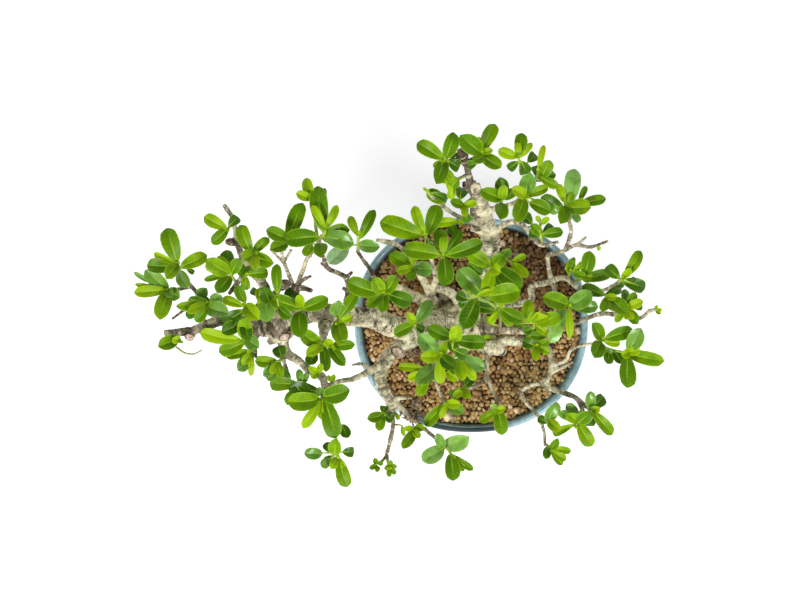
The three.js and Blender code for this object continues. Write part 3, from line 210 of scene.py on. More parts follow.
# How brown and how green the bark of a limb is at its foot, and then at its tip; the rest are pale
PALE_BARK = (0.1, 0.15, 0.3, 0.15)
BARK_TINTS = {
    "stump": (0.15, 0.1, 0.15, 0.15), "hollow_ridge": (0.25, 0.05, 0.25, 0.05),
    "left_trunk": (-0.25, 0.1, 1, 0), "left_trunk_knee": (1, 0, 0.8, 0), "trunk_knot": (0.6, 0, 0.9, 0),
    "knot_spurs": (0.9, 0, 0.9, 0), "knot_side_spur": (0.9, 0, 0.7, 0), "trunk_scar": (0.45, 0, 0.45, 0),
    "up_left_limb": (0.6, 0, 0.45, 0), "up_left_fork": (0.8, 0, 0.9, 0), "left_limb": (0.75, 0, 0.8, 0),
    "far_left_twig": (0.8, 0, 0.9, 0.1), "far_left_side": (0.9, 0, 0.9, 0), "dead_twig": (0.8, 0, 0.7, 0),
    "lower_left_limb": (0.6, 0, 0.45, 0), "lower_left_spur": (0.5, 0, 0.5, 0),
    "lower_left_twig": (0.7, 0, 0.8, 0), "back_left_twig": (0.4, 0.1, 1, 0),
    "back_left_knots": (0.9, 0, 0.9, 0), "dark_twig": (0.85, 0, 0.9, 0),
    "front_left_limb": (0, 0.5, 0.35, 0.45), "front_limb": (0, 0.2, 0.25, 0.9),
    "front_long_twig": (0.5, 0.2, 0.5, 0.2), "front_right_twig": (0.45, 0.2, 0.6, 0.1),
    "low_front_twig": (0.3, 0.2, 0.15, 0.2), "back_trunk": (0.15, 0.1, 0.5, 0.1),
    "back_scar": (0.5, 0, 0.7, 0), "back_top_twig": (0.8, 0, 0.8, 0), "back_tip_twig": (0.8, 0, 0.8, 0),
    "back_right_twig": (0.3, 0.1, 0.5, 0.1), "long_right_limb": (0.8, 0.05, 0.35, 0.1),
    "right_front_limb": (0.1, 0.4, 0.6, 0.6), "right_front_fork": (0.1, 0.45, 0.4, 0.2),
    "inner_back_twig": (0.3, 0.2, 0.6, 0.2), "inner_back_fork": (0.5, 0.2, 0.6, 0.1),
    "soil_twig": (0.3, 0.5, 0.4, 0.5), "soil_twig_fork": (0.4, 0.5, 0.5, 0.4),
    "pale_twig": (0.2, 0.1, 0.3, 0.1), "up_left_knob": (0.9, 0, 1, 0), "up_left_spur": (0.9, 0, 0.9, 0),
    "back_left_spurs": (1, 0, 1, 0), "back_left_tip_spur": (0.9, 0, 0.9, 0), "back_burr": (1, 0, 1, 0),
    "back_stem": (0.8, 0, 1, 0), "back_moss": (0.9, 0.5, 0.9, 0.5), "back_cut_oval": (0.6, 0, 0.5, 0),
    "back_cut_side": (0.9, 0, 0.9, 0), "trunk_swirl": (0.35, 0, 0.35, 0), "ring_knob": (0.9, 0, 0.9, 0),
    "right_thin_twig": (0.1, 0.1, 0.1, 0.1), "right_front_node": (0.7, 0.2, 0.9, 0.1),
    "left_cut_bulge": (0.5, 0, 0.5, 0), "hollow_back": (0.8, 0, 0.8, 0), "hollow_side": (0.7, 0, 0.7, 0),
    "right_back_limb": (0.2, 0.2, 0.4, 0.2), "pale_root_limb": (0, 0.05, 0.1, 0.1),
}
# Limbs that end in a fresh pinkish cut
CUT_ENDS = ("back_cut_left", "back_cut_right", "pink_spur", "front_knot", "left_trunk_knee")

# Marks on the wood: plan across and down of the middle, radii along and across, turn in degrees and kind.
# A healed cut has raised rings and a dark edge, a knot stands proud with a dark eye, a cut shows its wood.
HEALED, KNOT, CUT = "healed", "knot", "cut"
WOOD_MARKS = (
    (325, 326, 6, 5.5, 0, HEALED), (363, 311, 4.6, 3.8, 20, HEALED), (397, 352, 6, 4.5, 30, CUT),
    (475.5, 187.5, 6.5, 4.4, 80, HEALED), (464, 185, 4, 3, -30, HEALED), (480, 209, 3.5, 3, 0, HEALED),
    (190, 337, 6, 3.5, 20, CUT), (472, 228, 4, 3.5, 0, CUT), (503, 243, 4, 3, 0, CUT),
    (229, 241, 4.5, 3.5, 10, KNOT), (242, 241, 3.5, 4, 0, KNOT), (262, 283, 3.5, 3.5, 0, KNOT),
    (348, 272, 2.5, 2.5, 0, KNOT), (340, 281, 2.5, 2.5, 0, KNOT), (346, 292, 2.5, 2.5, 0, KNOT),
    (541, 378, 5, 4.5, 0, HEALED), (391, 437, 2.6, 2, 0, KNOT), (285, 284, 4.6, 4.4, 0, HEALED),
    (280, 319, 3, 2.5, 0, KNOT), (388, 392, 5, 3, 60, HEALED), (450, 312, 6, 5, 20, HEALED),
    (435, 316, 4, 3, 0, KNOT), (498, 332, 4, 2.5, 0, KNOT), (552, 255, 3, 2.5, 0, KNOT),
    (534, 288, 3, 2.5, 0, KNOT), (285, 337, 6, 3, -25, CUT), (453, 421, 3.2, 2.6, 0, CUT),
    (435, 301, 5.5, 3.5, 60, HEALED), (444, 298, 4.5, 3, 20, HEALED), (441, 311, 4, 3, 0, HEALED),
    (429, 296, 3.4, 4.4, 0, KNOT), (452, 305, 3, 4, 20, KNOT), (365, 303, 4, 3, 30, KNOT),
    (404, 318, 6, 2.6, 10, KNOT), (318, 318, 4, 3, 0, KNOT), (303, 319, 3, 2.4, 0, KNOT),
    (428, 313, 4, 2, 0, KNOT), (268, 330, 5, 3, 30, KNOT),
)

# Kinds of leaf: order from the tip of a shoot down, rise or droop, how old its green is, and its gloss. The
# dark green of DARK and DEEP leaves is partly age and partly painted shade for leaves that lie under others.
# GLOSSY and PALE ones carry a painted sheen, a paler bluish green that stands in for the sky they reflect,
# and one shows its underside.
YOUNG = {"rank": 0, "rise": 1.3, "age": 0.0, "gloss": 0.25}
GREEN = {"rank": 1, "rise": 1, "age": 0.45, "gloss": 0.4}
GLOSSY = {"rank": 2, "rise": 1, "age": 0.7, "gloss": 1.0, "pale": 0.36}
# Painted shade: DARK leaves take the darkest green, as leaves in the shade of others
DARK = {"rank": 3, "rise": -0.5, "age": 1.0, "gloss": 0.6}
SOFT = {"rise": 1, "age": 0.2, "gloss": 0.3}
# Painted shade: DEEP leaves take a dark green where they lie under others
DEEP = {"rise": 1, "age": 0.8, "gloss": 0.4}
PALE = {"rise": 1, "age": 0.55, "gloss": 1.0, "pale": 0.85}
UNDERSIDE = {"rise": 1, "age": 0.5, "gloss": 0.2, "under": 1.0}
BUD = {"rise": 1, "age": 0.4, "gloss": 0.3}
GONE = None

# Sprays: for each shoot, its stem from the wood to its tip (plan across, plan down, height), and its leaves
# (plan place of the tip, width on the plan, kind), as in the part's source. A few rows go on with the look of
# another kind, or with GONE where the leaf isn't there or stands in MORE_LEAVES, with its true foot.
SPRAYS = {
    "far_left": (
        (((178, 276, 171), (179, 270, 177), (178, 264, 184)), ((167, 228, 17, GREEN), (154, 253, 7, YOUNG),
         (147, 266, 14, GREEN), (165, 276, 12, DARK, GONE), (207, 255, 13, GREEN), (187, 288, 12, GLOSSY))),
        (((172, 290, 171), (168, 290, 178)), ((145, 270, 14, GLOSSY), (135, 284, 5, YOUNG),
         (134, 293, 11, YOUNG), (160, 320, 15, GREEN), (173, 297, 9, GLOSSY))),
        (((200, 305, 162), (207, 306, 167), (208, 304, 173)), ((176, 306, 9, GREEN), (187, 312, 9, YOUNG),
         (197, 322, 8, DARK, GONE), (229, 314, 15, GLOSSY))),
    ),
    "left_tip": (
        (((176, 333, 161), (179, 338, 165), (180, 341, 169)), ((158, 347, 13, GREEN), (172, 338, 8, YOUNG),
         (199, 347, 6, GREEN, GONE))),
    ),
    "top_left": (
        (((233, 224, 187), (230, 226, 193), (228, 229, 198)), ((204, 217, 12, YOUNG),
         (237, 217, 9, DARK, GONE), (212, 244, 11, GREEN), (233, 243, 9, GLOSSY, GONE))),
    ),
    "upper_left": (
        (((243, 258, 175), (250, 256, 181), (255, 254, 188)), ((240, 225, 13, GREEN), (269, 238, 9, GREEN),
         (274, 263, 13, GREEN), (242, 261, 12, GLOSSY, GONE), (256, 270, 9, YOUNG))),
    ),
    "left_inner": (
        (((237, 283, 169), (232, 277, 176), (230, 272, 183)), ((206, 259, 15, YOUNG), (226, 250, 13, DARK),
         (204, 280, 6, GREEN), (217, 293, 13, GREEN))),
        (((244, 275, 170), (246, 275, 179)), ((268, 273, 11, GREEN), (247, 290, 9, GLOSSY, GREEN))),
    ),
    "left_middle": (
        (((252, 323, 153), (247, 314, 162), (244, 305, 170)), ((222, 299, 9, YOUNG),
         (260, 317, 13, YOUNG, GONE), (240, 285, 7, GLOSSY, GONE), (222, 329, 14, DARK, GONE))),
        (((266, 303, 157), (260, 304, 166)), ((259, 288, 7, YOUNG), (270, 321, 16, GLOSSY, GONE))),
    ),
    "left_ring": (
        (((280, 288, 166), (278, 294, 172), (277, 296, 177)), ((277, 264, 10, GREEN),
         (268, 285, 12, DARK, GONE))),
    ),
    "left_lower": (
        (((255, 342, 149), (248, 341, 154), (243, 340, 161)), ((200, 332, 13, YOUNG),
         (247, 317, 13, GREEN, SOFT), (261, 345, 13, GLOSSY, GONE), (219, 352, 13, GREEN))),
        (((256, 352, 148), (251, 351, 155)), ((238, 371, 12, GLOSSY), (243, 365, 8, YOUNG),
         (251, 376, 6, YOUNG), (226, 357, 9, GREEN))),
    ),
    "lower_left": (
        (((286, 357, 149), (281, 360, 154), (277, 362, 160)), ((255, 361, 11, GREEN), (270, 374, 7, YOUNG),
         (281, 378, 8, YOUNG), (268, 381, 13, GLOSSY), (278, 346, 13, DARK))),
    ),
    "upper_middle": (
        (((312, 252, 171), (318, 243, 178), (322, 236, 186)), ((285, 241, 17, GREEN), (350, 230, 16, GREEN),
         (357, 246, 17, GLOSSY, GONE), (326, 256, 12, DARK, GONE), (303, 255, 10, DARK, GONE),
         (330, 264, 12, DARK, GONE))),
        (((319, 241, 181), (325, 232, 192), (325, 229, 198)), ((318, 186, 17, GREEN), (312, 205, 7, YOUNG),
         (337, 205, 8, YOUNG))),
        (((318, 243, 179), (315, 220, 185), (314, 200, 190)), ((306, 178, 10, YOUNG),
         (295, 193, 10, GREEN, GONE), (325, 188, 8, DARK))),
    ),
    "upper_middle_left": (
        (((284, 250, 173), (288, 243, 179), (291, 238, 185)), ((266, 230, 13, GREEN), (270, 250, 12, GREEN),
         (303, 203, 15, GREEN))),
    ),
    "back_left": (
        (((358, 252, 162), (358, 244, 168), (358, 235, 175)), ((350, 216, 8, YOUNG), (375, 210, 10, GREEN),
         (380, 247, 12, GLOSSY))),
    ),
    "middle": (
        (((384, 292, 148), (384, 293, 158), (384, 293, 166)), ((347, 282, 17, GREEN), (373, 277, 12, GREEN),
         (397, 275, 12, GREEN), (412, 302, 15, DARK), (367, 307, 12, GREEN), (382, 313, 11, GREEN))),
    ),
    "middle_left": (
        (((334, 314, 138), (338, 317, 146), (338, 322, 154)), ((339, 300, 14, GLOSSY), (357, 293, 11, GREEN),
         (353, 317, 7, YOUNG), (343, 344, 15, GREEN))),
        (((324, 340, 146), (330, 345, 152), (333, 347, 159)), ((355, 344, 10, GREEN), (345, 366, 11, GREEN),
         (325, 339, 9, YOUNG))),
        (((323, 341, 146), (322, 347, 154)), ((300, 332, 14, GREEN), (306, 355, 10, YOUNG),
         (326, 372, 10, GREEN))),
    ),
    "left_star": (
        (((300, 315, 147), (300, 311, 156), (300, 308, 166)), ((270, 299, 15, GREEN), (328, 298, 13, GREEN),
         (301, 294, 9, YOUNG), (302, 338, 16, GREEN), (289, 287, 14, DARK))),
    ),
    "front_left": (
        (((325, 387, 153), (323, 394, 160), (321, 400, 167)), ((287, 402, 17, GREEN),
         (350, 390, 17, GREEN, DEEP), (336, 438, 17, GREEN), (303, 428, 10, YOUNG), (321, 419, 6, YOUNG),
         (288, 388, 13, DARK), (318, 387, 9, GLOSSY), (347, 437, 13, DARK, GONE))),
        (((326, 388, 153), (334, 412, 151), (336, 436, 150), (337, 453, 157)), ()),
    ),
    "front_left_side": (
        (((309, 370, 151), (303, 379, 154), (301, 386, 160)), ((270, 384, 13, GREEN),
         (298, 370, 12, GLOSSY, GONE), (313, 391, 9, GREEN, GONE))),
        (((317, 375, 152), (318, 373, 159)), ((309, 366, 7, YOUNG), (311, 378, 7, YOUNG),
         (322, 363, 6, YOUNG), (333, 379, 7, YOUNG, GONE))),
    ),
    "front_small": (
        (((387, 413, 105), (384, 414, 109), (383, 414, 114)), ((367, 419, 10, GREEN), (379, 431, 9, GREEN),
         (384, 406, 8, DARK), (393, 420, 9, DARK))),
    ),
    "front_tip": (
        (((387, 455, 105), (382, 461, 108), (376, 464, 113)), ()),
        (((387, 455, 105), (388, 463, 108), (389, 467, 113)), ()),
    ),
    "front_middle": (
        (((420, 425, 101), (416, 428, 106), (413, 429, 112)), ((403, 449, 10, GREEN), (420, 438, 7, YOUNG),
         (403, 428, 6, YOUNG), (425, 427, 7, GREEN))),
        (((444, 443, 103), (445, 446, 108), (444, 448, 114)), ((422, 461, 15, GLOSSY, PALE),
         (469, 436, 16, GLOSSY, PALE), (437, 433, 9, YOUNG, GLOSSY))),
        (((444, 444, 103), (449, 451, 107), (452, 455, 111)), ((453, 481, 14, GREEN), (464, 471, 7, GREEN),
         (473, 470, 7, GREEN))),
    ),
    "low_front": (
        (((443, 399, 99), (446, 402, 106), (446, 404, 114)), ((425, 426, 11, GREEN), (461, 404, 9, YOUNG),
         (463, 414, 12, GLOSSY), (441, 418, 6, YOUNG))),
    ),
    "low_inner": (
        (((467, 388, 91), (463, 388, 97), (461, 388, 103)), ((451, 396, 10, DARK), (469, 399, 9, YOUNG),
         (471, 378, 10, DARK))),
    ),
    "low_centre": (
        (((498, 402, 89), (497, 408, 96), (497, 411, 102)), ((480, 422, 9, GREEN), (502, 435, 13, GREEN),
         (506, 408, 7, YOUNG))),
    ),
    "right_front_low": (
        (((541, 424, 98), (546, 422, 104), (549, 421, 110)), ((557, 402, 12, GLOSSY),
         (540, 422, 9, DARK, GONE), (561, 431, 10, YOUNG))),
        (((545, 444, 101), (549, 447, 105), (551, 449, 110)), ((558, 438, 8, GREEN), (545, 459, 8, GREEN),
         (571, 451, 7, YOUNG), (562, 465, 7, GREEN))),
    ),
    "right_front": (
        (((584, 404, 103), (579, 416, 108), (575, 425, 114)), ((566, 404, 10, GLOSSY), (553, 434, 8, YOUNG),
         (592, 446, 13, YOUNG), (559, 411, 9, DARK, GONE))),
        (((587, 407, 103), (590, 409, 108), (591, 411, 114)), ((590, 391, 10, GREEN, GLOSSY),
         (604, 397, 12, DARK), (600, 407, 8, YOUNG), (612, 435, 11, GREEN), (589, 426, 12, DARK))),
    ),
    "right_low": (
        (((595, 344, 111), (601, 341, 117), (603, 340, 124)), ((592, 323, 12, GREEN), (594, 358, 14, GREEN),
         (633, 330, 13, YOUNG, GREEN), (620, 344, 8, YOUNG), (620, 354, 11, DARK, GONE),
         (608, 363, 7, GREEN, GONE))),
        (((596, 344, 111), (612, 350, 113), (628, 353, 120)), ((643, 328, 14, GLOSSY, GONE),
         (664, 361, 13, GREEN), (627, 388, 16, GREEN, GONE), (641, 350, 8, YOUNG))),
    ),
    "right_middle": (
        (((620, 316, 120), (624, 311, 126), (626, 307, 132)), ((608, 299, 13, DARK), (643, 301, 9, YOUNG),
         (638, 324, 10, GREEN), (625, 289, 8, GLOSSY), (615, 322, 7, YOUNG), (633, 320, 7, YOUNG))),
    ),
    "right_inner_middle": (
        (((600, 292, 111), (605, 295, 117), (607, 297, 124)), ((582, 286, 11, DARK), (602, 312, 9, GREEN),
         (618, 298, 7, YOUNG), (621, 287, 9, DARK))),
    ),
    "right_upper": (
        (((617, 284, 119), (620, 280, 126), (622, 278, 133)), ((606, 267, 12, DARK),
         (641, 251, 11, YOUNG, GREEN), (645, 288, 13, DARK), (631, 268, 7, YOUNG))),
    ),
    "right_back": (
        (((572, 283, 103), (581, 279, 109), (588, 276, 116)), ((590, 251, 13, GREEN), (611, 274, 11, GREEN),
         (587, 283, 8, YOUNG))),
        (((566, 279, 101), (569, 275, 108), (570, 272, 114)), ((571, 258, 8, GREEN), (585, 264, 5, YOUNG),
         (560, 266, 8, YOUNG, GONE))),
    ),
    "right_inner": (
        (((564, 304, 103), (567, 305, 110), (569, 306, 117)), ((542, 297, 15, GREEN), (592, 291, 16, GLOSSY),
         (598, 307, 12, GLOSSY), (570, 338, 7, YOUNG), (550, 343, 13, GLOSSY, PALE))),
    ),
    "right_centre": (
        (((532, 331, 98), (534, 327, 106), (534, 322, 114)), ((534, 301, 9, YOUNG, GONE),
         (561, 315, 14, GREEN), (551, 318, 7, YOUNG, GONE), (547, 334, 7, YOUNG), (524, 332, 10, DARK))),
    ),
    "right_centre_low": (
        (((536, 344, 92), (537, 346, 98), (537, 346, 104)), ((549, 341, 8, GREEN), (550, 353, 7, YOUNG),
         (535, 361, 8, YOUNG), (523, 341, 12, DARK))),
    ),
    "centre_back": (
        (((489, 262, 106), (492, 266, 130), (491, 268, 152)), ((467, 251, 14, GREEN), (505, 255, 13, GREEN),
         (501, 273, 11, YOUNG), (485, 293, 12, YOUNG), (522, 288, 17, GREEN), (508, 296, 12, DARK))),
        (((494, 250, 118), (505, 258, 124), (512, 263, 130)), ((510, 248, 10, GLOSSY), (526, 255, 6, YOUNG),
         (528, 277, 9, YOUNG))),
    ),
    "centre_long": (
        (((500, 330, 92), (500, 316, 112), (493, 305, 132), (471, 294, 152)), ((458, 269, 19, GLOSSY),
         (458, 303, 12, DARK), (463, 329, 17, GREEN, DEEP), (492, 290, 6, YOUNG))),
        (((500, 318, 108), (500, 312, 126), (499, 308, 132)), ((523, 295, 16, GREEN, GONE),
         (512, 326, 9, YOUNG), (524, 320, 13, GREEN, GONE), (502, 297, 6, YOUNG), (489, 323, 6, YOUNG))),
    ),
    "centre": (
        (((458, 328, 82), (453, 336, 115), (453, 342, 148)), ((486, 343, 14, GREEN, DEEP),
         (427, 328, 13, GREEN, DEEP), (458, 324, 12, YOUNG, SOFT), (461, 357, 12, DARK, GONE),
         (441, 332, 10, DARK))),
    ),
    "centre_front": (
        (((436, 358, 93), (440, 357, 112), (441, 355, 132)), ((419, 333, 15, GLOSSY, PALE),
         (420, 357, 11, YOUNG), (447, 341, 8, YOUNG), (455, 369, 13, DARK, GONE), (440, 384, 10, YOUNG),
         (417, 384, 13, GLOSSY, GONE), (401, 367, 8, YOUNG, GONE))),
        (((434, 370, 97), (430, 372, 105), (427, 374, 112)), ((418, 396, 10, GREEN, SOFT),
         (406, 377, 10, DARK, GONE))),
        (((440, 357, 112), (452, 360, 116), (462, 362, 120)), ((485, 368, 14, GLOSSY, PALE),
         (476, 380, 8, YOUNG), (463, 381, 11, YOUNG), (453, 375, 8, GREEN))),
    ),
    "centre_left": (
        (((415, 327, 107), (415, 325, 124), (415, 323, 140)), ((432, 301, 12, GLOSSY), (394, 335, 11, GREEN),
         (407, 313, 8, YOUNG), (424, 331, 8, DARK))),
    ),
    "back_centre_left": (
        (((414, 266, 112), (413, 267, 122), (412, 267, 132)), ((389, 254, 13, GREEN), (396, 271, 8, YOUNG),
         (433, 270, 14, GLOSSY), (410, 281, 9, GREEN), (413, 244, 10, YOUNG))),
    ),
    "crown_left": (
        (((443, 257, 162), (443, 256, 172), (443, 256, 182)), ((403, 250, 16, GREEN), (483, 243, 14, GREEN),
         (444, 236, 8, YOUNG), (446, 286, 15, GREEN), (440, 229, 13, DARK, GREEN),
         (461, 230, 9, DARK, GREEN))),
    ),
    "crown_back": (
        (((427, 240, 158), (426, 237, 168), (425, 235, 178)), ((380, 222, 19, GREEN), (414, 206, 10, YOUNG),
         (438, 205, 15, GREEN), (432, 250, 8, DARK))),
    ),
    "pale_twig": (
        (((462, 218, 157), (460, 220, 162), (460, 222, 168)), ((435, 224, 9, YOUNG),
         (474, 232, 8, GREEN, GONE))),
        (((431, 196, 179), (427, 191, 184)), ((447, 200, 8, DARK), (418, 184, 6, YOUNG, GONE))),
    ),
    "back_top": (
        (((449, 161, 208), (446, 160, 213), (445, 160, 218)), ((417, 143, 14, GREEN), (453, 132, 14, GREEN),
         (436, 184, 14, GREEN), (459, 168, 12, DARK), (433, 167, 6, YOUNG))),
    ),
    "back_tip": (
        (((479, 158, 206), (481, 155, 211), (482, 153, 217)), ((460, 135, 17, GREEN), (478, 137, 7, YOUNG),
         (495, 124, 13, GREEN), (501, 168, 13, GREEN), (475, 162, 11, DARK, GONE), (493, 150, 6, YOUNG))),
    ),
    "back_lower": (
        (((468, 174, 190), (455, 181, 192), (452, 184, 195)), ((450, 199, 8, YOUNG), (438, 179, 9, DARK))),
        (((476, 196, 167), (467, 202, 171), (462, 206, 176)), ((477, 202, 7, YOUNG), (450, 202, 9, GREEN),
         (465, 217, 7, YOUNG), (460, 192, 12, DARK, GONE))),
    ),
    "back_right": (
        (((498, 208, 159), (501, 203, 167), (502, 199, 176)), ((480, 190, 13, GREEN), (500, 177, 13, GREEN),
         (504, 184, 9, YOUNG), (500, 220, 13, GREEN), (521, 193, 10, DARK, GONE))),
    ),
    "back_right_middle": (
        (((523, 195, 171), (525, 196, 179), (526, 197, 187)), ((530, 172, 15, GLOSSY), (511, 189, 11, YOUNG),
         (548, 188, 9, YOUNG), (516, 222, 14, GREEN), (550, 209, 13, DARK, GONE))),
    ),
    "back_right_top": (
        (((524, 171, 183), (520, 163, 189), (518, 157, 196)), ((522, 133, 12, GREEN), (517, 142, 7, YOUNG),
         (498, 150, 10, YOUNG), (532, 143, 6, YOUNG), (508, 169, 9, DARK), (526, 174, 12, DARK, GONE),
         (534, 153, 9, DARK, GONE))),
        (((535, 181, 179), (537, 176, 186), (538, 172, 192)), ((544, 145, 6, YOUNG),
         (549, 157, 11, GREEN, GONE), (556, 175, 9, DARK), (558, 187, 9, GREEN))),
    ),
    "back_right_tip": (
        (((567, 217, 136), (566, 209, 143), (565, 203, 150)), ((575, 169, 15, GLOSSY, PALE),
         (557, 184, 8, YOUNG), (541, 197, 12, DARK), (573, 193, 5, YOUNG), (560, 224, 12, GREEN))),
        (((568, 222, 133), (576, 209, 140), (580, 201, 147)), ((586, 186, 6, GREEN), (606, 199, 10, GREEN),
         (590, 208, 12, DARK, GONE))),
    ),
    "back_right_low": (
        (((543, 244, 152), (541, 238, 157), (540, 233, 163)), ((529, 233, 9, DARK),
         (546, 217, 8, YOUNG, GONE), (552, 225, 9, DARK), (563, 232, 10, GREEN), (526, 220, 10, DARK, GONE))),
    ),
}

# More leaves: plan place of the foot and of the tip, width on the plan, kind, and how far over its neighbours
MORE_LEAVES = (
    # left side
    (158, 285, 134, 272, 4.5, PALE, -1), (179, 264, 166, 279, 12, GREEN, 0),
    (169, 290, 180, 298, 12, GLOSSY, 1), (186, 268, 194, 273, 5, DARK, -2),
    (199, 298, 207, 288, 11, GLOSSY, 0), (222, 304, 210, 296, 12, GLOSSY, 0),
    (213, 303, 196, 297, 8, DARK, -3), (210, 302, 188, 300, 8, GREEN, 1), (209, 304, 196, 322, 10, GREEN, 0),
    (205, 309, 186, 316, 9, DARK, -3), (228, 228, 238, 217, 10, DARK, 0), (255, 254, 243, 260, 13, SOFT, -1),
    (230, 272, 218, 256, 9, YOUNG, 2), (229, 273, 205, 266, 8, YOUNG, 2), (231, 274, 240, 258, 11, GREEN, 1),
    (246, 303, 237, 285, 10, GREEN, 0), (262, 296, 251, 290, 7, DARK, -2), (270, 303, 265, 286, 14, DEEP, 3),
    (264, 294, 268, 322, 16, GLOSSY, -1), (262, 300, 256, 314, 10, DARK, -2),
    (246, 309, 222, 324, 14, DARK, -3), (245, 305, 259, 320, 14, SOFT, 1),
    (245, 338, 259, 348, 13, GLOSSY, 0), (275, 366, 263, 376, 10, PALE, -2),
    (283, 366, 288, 382, 8, PALE, -2), (300, 384, 299, 369, 7, GLOSSY, 0), (303, 384, 308, 373, 6, GLOSSY, 0),
    (299, 388, 287, 405, 11, GREEN, -2), (300, 385, 312, 394, 9, GREEN, 0), (331, 382, 334, 374, 5, YOUNG, 0),
    (331, 382, 328, 375, 4, YOUNG, 0),
    # front left, on its own short stem
    (323, 453, 304, 454, 11, GLOSSY, 0), (331, 453, 325, 443, 8, DARK, -1),
    (335, 455, 336, 438, 12, GREEN, 0), (341, 452, 354, 451, 10, DARK, 0), (332, 455, 326, 461, 8, DARK, -1),
    (329, 460, 321, 467, 9, GLOSSY, 0), (337, 456, 331, 469, 8, SOFT, 0), (339, 456, 347, 487, 13, GREEN, 0),
    (339, 458, 345, 468, 5, YOUNG, 1),
    # behind, left of the middle
    (313, 199, 296, 193, 9, SOFT, 0), (312, 243, 304, 256, 9, SOFT, -1), (322, 243, 321, 258, 13, GREEN, 1),
    (325, 238, 354, 243, 17, GLOSSY, -1), (349, 245, 329, 264, 15, UNDERSIDE, -2),
    (246, 318, 249, 342, 12, DEEP, 3), (243, 322, 222, 333, 13, DEEP, -1), (249, 262, 240, 277, 11, DEEP, -3),
    (316, 352, 308, 365, 11, DEEP, -3), (341, 424, 348, 438, 10, DEEP, -3),
    (278, 306, 291, 318, 10, DEEP, -3),
    # back top
    (484, 155, 473, 162, 10, GREEN, 2), (478, 163, 468, 166, 9, DARK, -1), (450, 160, 455, 152, 6, DARK, -1),
    (452, 196, 447, 177, 7, YOUNG, 0), (447, 168, 453, 180, 6, YOUNG, -1), (452, 187, 459, 179, 10, GREEN, 1),
    (460, 201, 462, 188, 14, DARK, -1), (446, 203, 427, 190, 12, GREEN, 0), (463, 210, 468, 222, 9, DARK, -1),
    (457, 221, 464, 224, 5, YOUNG, 0),
    # back right
    (520, 160, 526, 174, 12, DARK, -2), (527, 163, 535, 154, 10, DARK, -1),
    (541, 179, 550, 160, 12, GREEN, 0), (541, 182, 535, 166, 10, DARK, -2), (503, 200, 517, 190, 9, GREEN, 0),
    (528, 202, 551, 212, 13, GREEN, -2), (545, 203, 558, 213, 9, GLOSSY, -2),
    (533, 225, 523, 216, 11, DARK, -1), (566, 208, 591, 208, 15, GREEN, 2),
    (575, 214, 577, 223, 8, GLOSSY, -2), (541, 224, 549, 217, 6, YOUNG, 1), (540, 222, 536, 216, 5, YOUNG, 1),
    (541, 236, 531, 224, 9, GREEN, 0), (600, 250, 597, 246, 4, YOUNG, 0),
    # middle
    (487, 297, 521, 291, 19, GREEN, 0), (470, 300, 457, 294, 10, DARK, -1),
    (500, 308, 522, 321, 13, GREEN, -1), (492, 325, 486, 316, 5, YOUNG, 0), (493, 324, 494, 314, 5, YOUNG, 0),
    (488, 342, 486, 334, 5, YOUNG, 0), (488, 342, 491, 335, 5, YOUNG, 0), (530, 323, 535, 311, 8, GREEN, 0),
    (524, 323, 515, 326, 6, DARK, -1), (535, 323, 540, 311, 7, YOUNG, 1), (533, 322, 549, 317, 8, YOUNG, 1),
    (588, 277, 573, 273, 7, GREEN, -1), (526, 327, 530, 300, 11, YOUNG, 3), (548, 336, 530, 336, 9, DEEP, -3),
    (468, 262, 482, 275, 10, DEEP, -2), (448, 340, 456, 352, 10, DEEP, -3),
    (446, 372, 458, 380, 9, YOUNG, -2), (450, 222, 455, 236, 9, GREEN, -2),
    (613, 350, 622, 364, 10, DEEP, -2), (612, 286, 624, 283, 8, DARK, -2), (570, 275, 567, 264, 6, YOUNG, 0),
    (571, 271, 574, 257, 4, GREEN, 0), (572, 272, 584, 262, 6, YOUNG, 1),
    # right
    (630, 283, 635, 278, 5, DARK, -1), (610, 298, 627, 314, 14, GREEN, 1), (628, 305, 635, 292, 8, GREEN, -1),
    (632, 308, 642, 305, 8, DARK, -2), (627, 309, 626, 320, 7, YOUNG, -1), (656, 310, 662, 309, 4, YOUNG, 0),
    (656, 311, 661, 314, 4, YOUNG, 0), (655, 309, 657, 305, 3, GREEN, 0), (628, 351, 641, 328, 15, GLOSSY, 1),
    (620, 353, 604, 354, 10, DARK, -1), (609, 352, 607, 364, 10, GREEN, -2),
    (629, 352, 621, 355, 9, YOUNG, 1), (628, 355, 627, 388, 16, GREEN, 0),
    # front of the middle
    (441, 355, 456, 369, 13, DEEP, 1), (452, 349, 466, 356, 12, DARK, -1),
    (437, 365, 416, 384, 15, GLOSSY, 16), (425, 368, 398, 367, 8, YOUNG, 0),
    (425, 371, 408, 379, 8, YOUNG, -1), (453, 398, 462, 390, 7, YOUNG, 0), (473, 378, 462, 384, 7, GREEN, -1),
    (495, 411, 493, 403, 6, GLOSSY, -1), (398, 245, 378, 240, 4, UNDERSIDE, 0),
    (377, 465, 369, 468, 5, BUD, 0), (377, 464, 374, 458, 5, BUD, 0), (377, 466, 378, 472, 5, BUD, 0),
    (378, 464, 383, 462, 5, BUD, 0), (389, 467, 384, 468, 5, BUD, 0), (389, 467, 389, 477, 5, BUD, 0),
    (389, 467, 396, 474, 5, BUD, 0), (389, 466, 397, 466, 5, BUD, 0), (389, 466, 391, 460, 5, BUD, 0),
    (396, 412, 399, 420, 4, YOUNG, 0), (402, 425, 404, 436, 4, YOUNG, 0),
    # front right
    (573, 421, 559, 411, 9, GLOSSY, -1), (578, 422, 566, 413, 10, GREEN, 0),
    (578, 424, 591, 412, 12, GREEN, 0), (549, 423, 538, 418, 8, DARK, 0), (552, 451, 566, 460, 8, GREEN, -1),
)

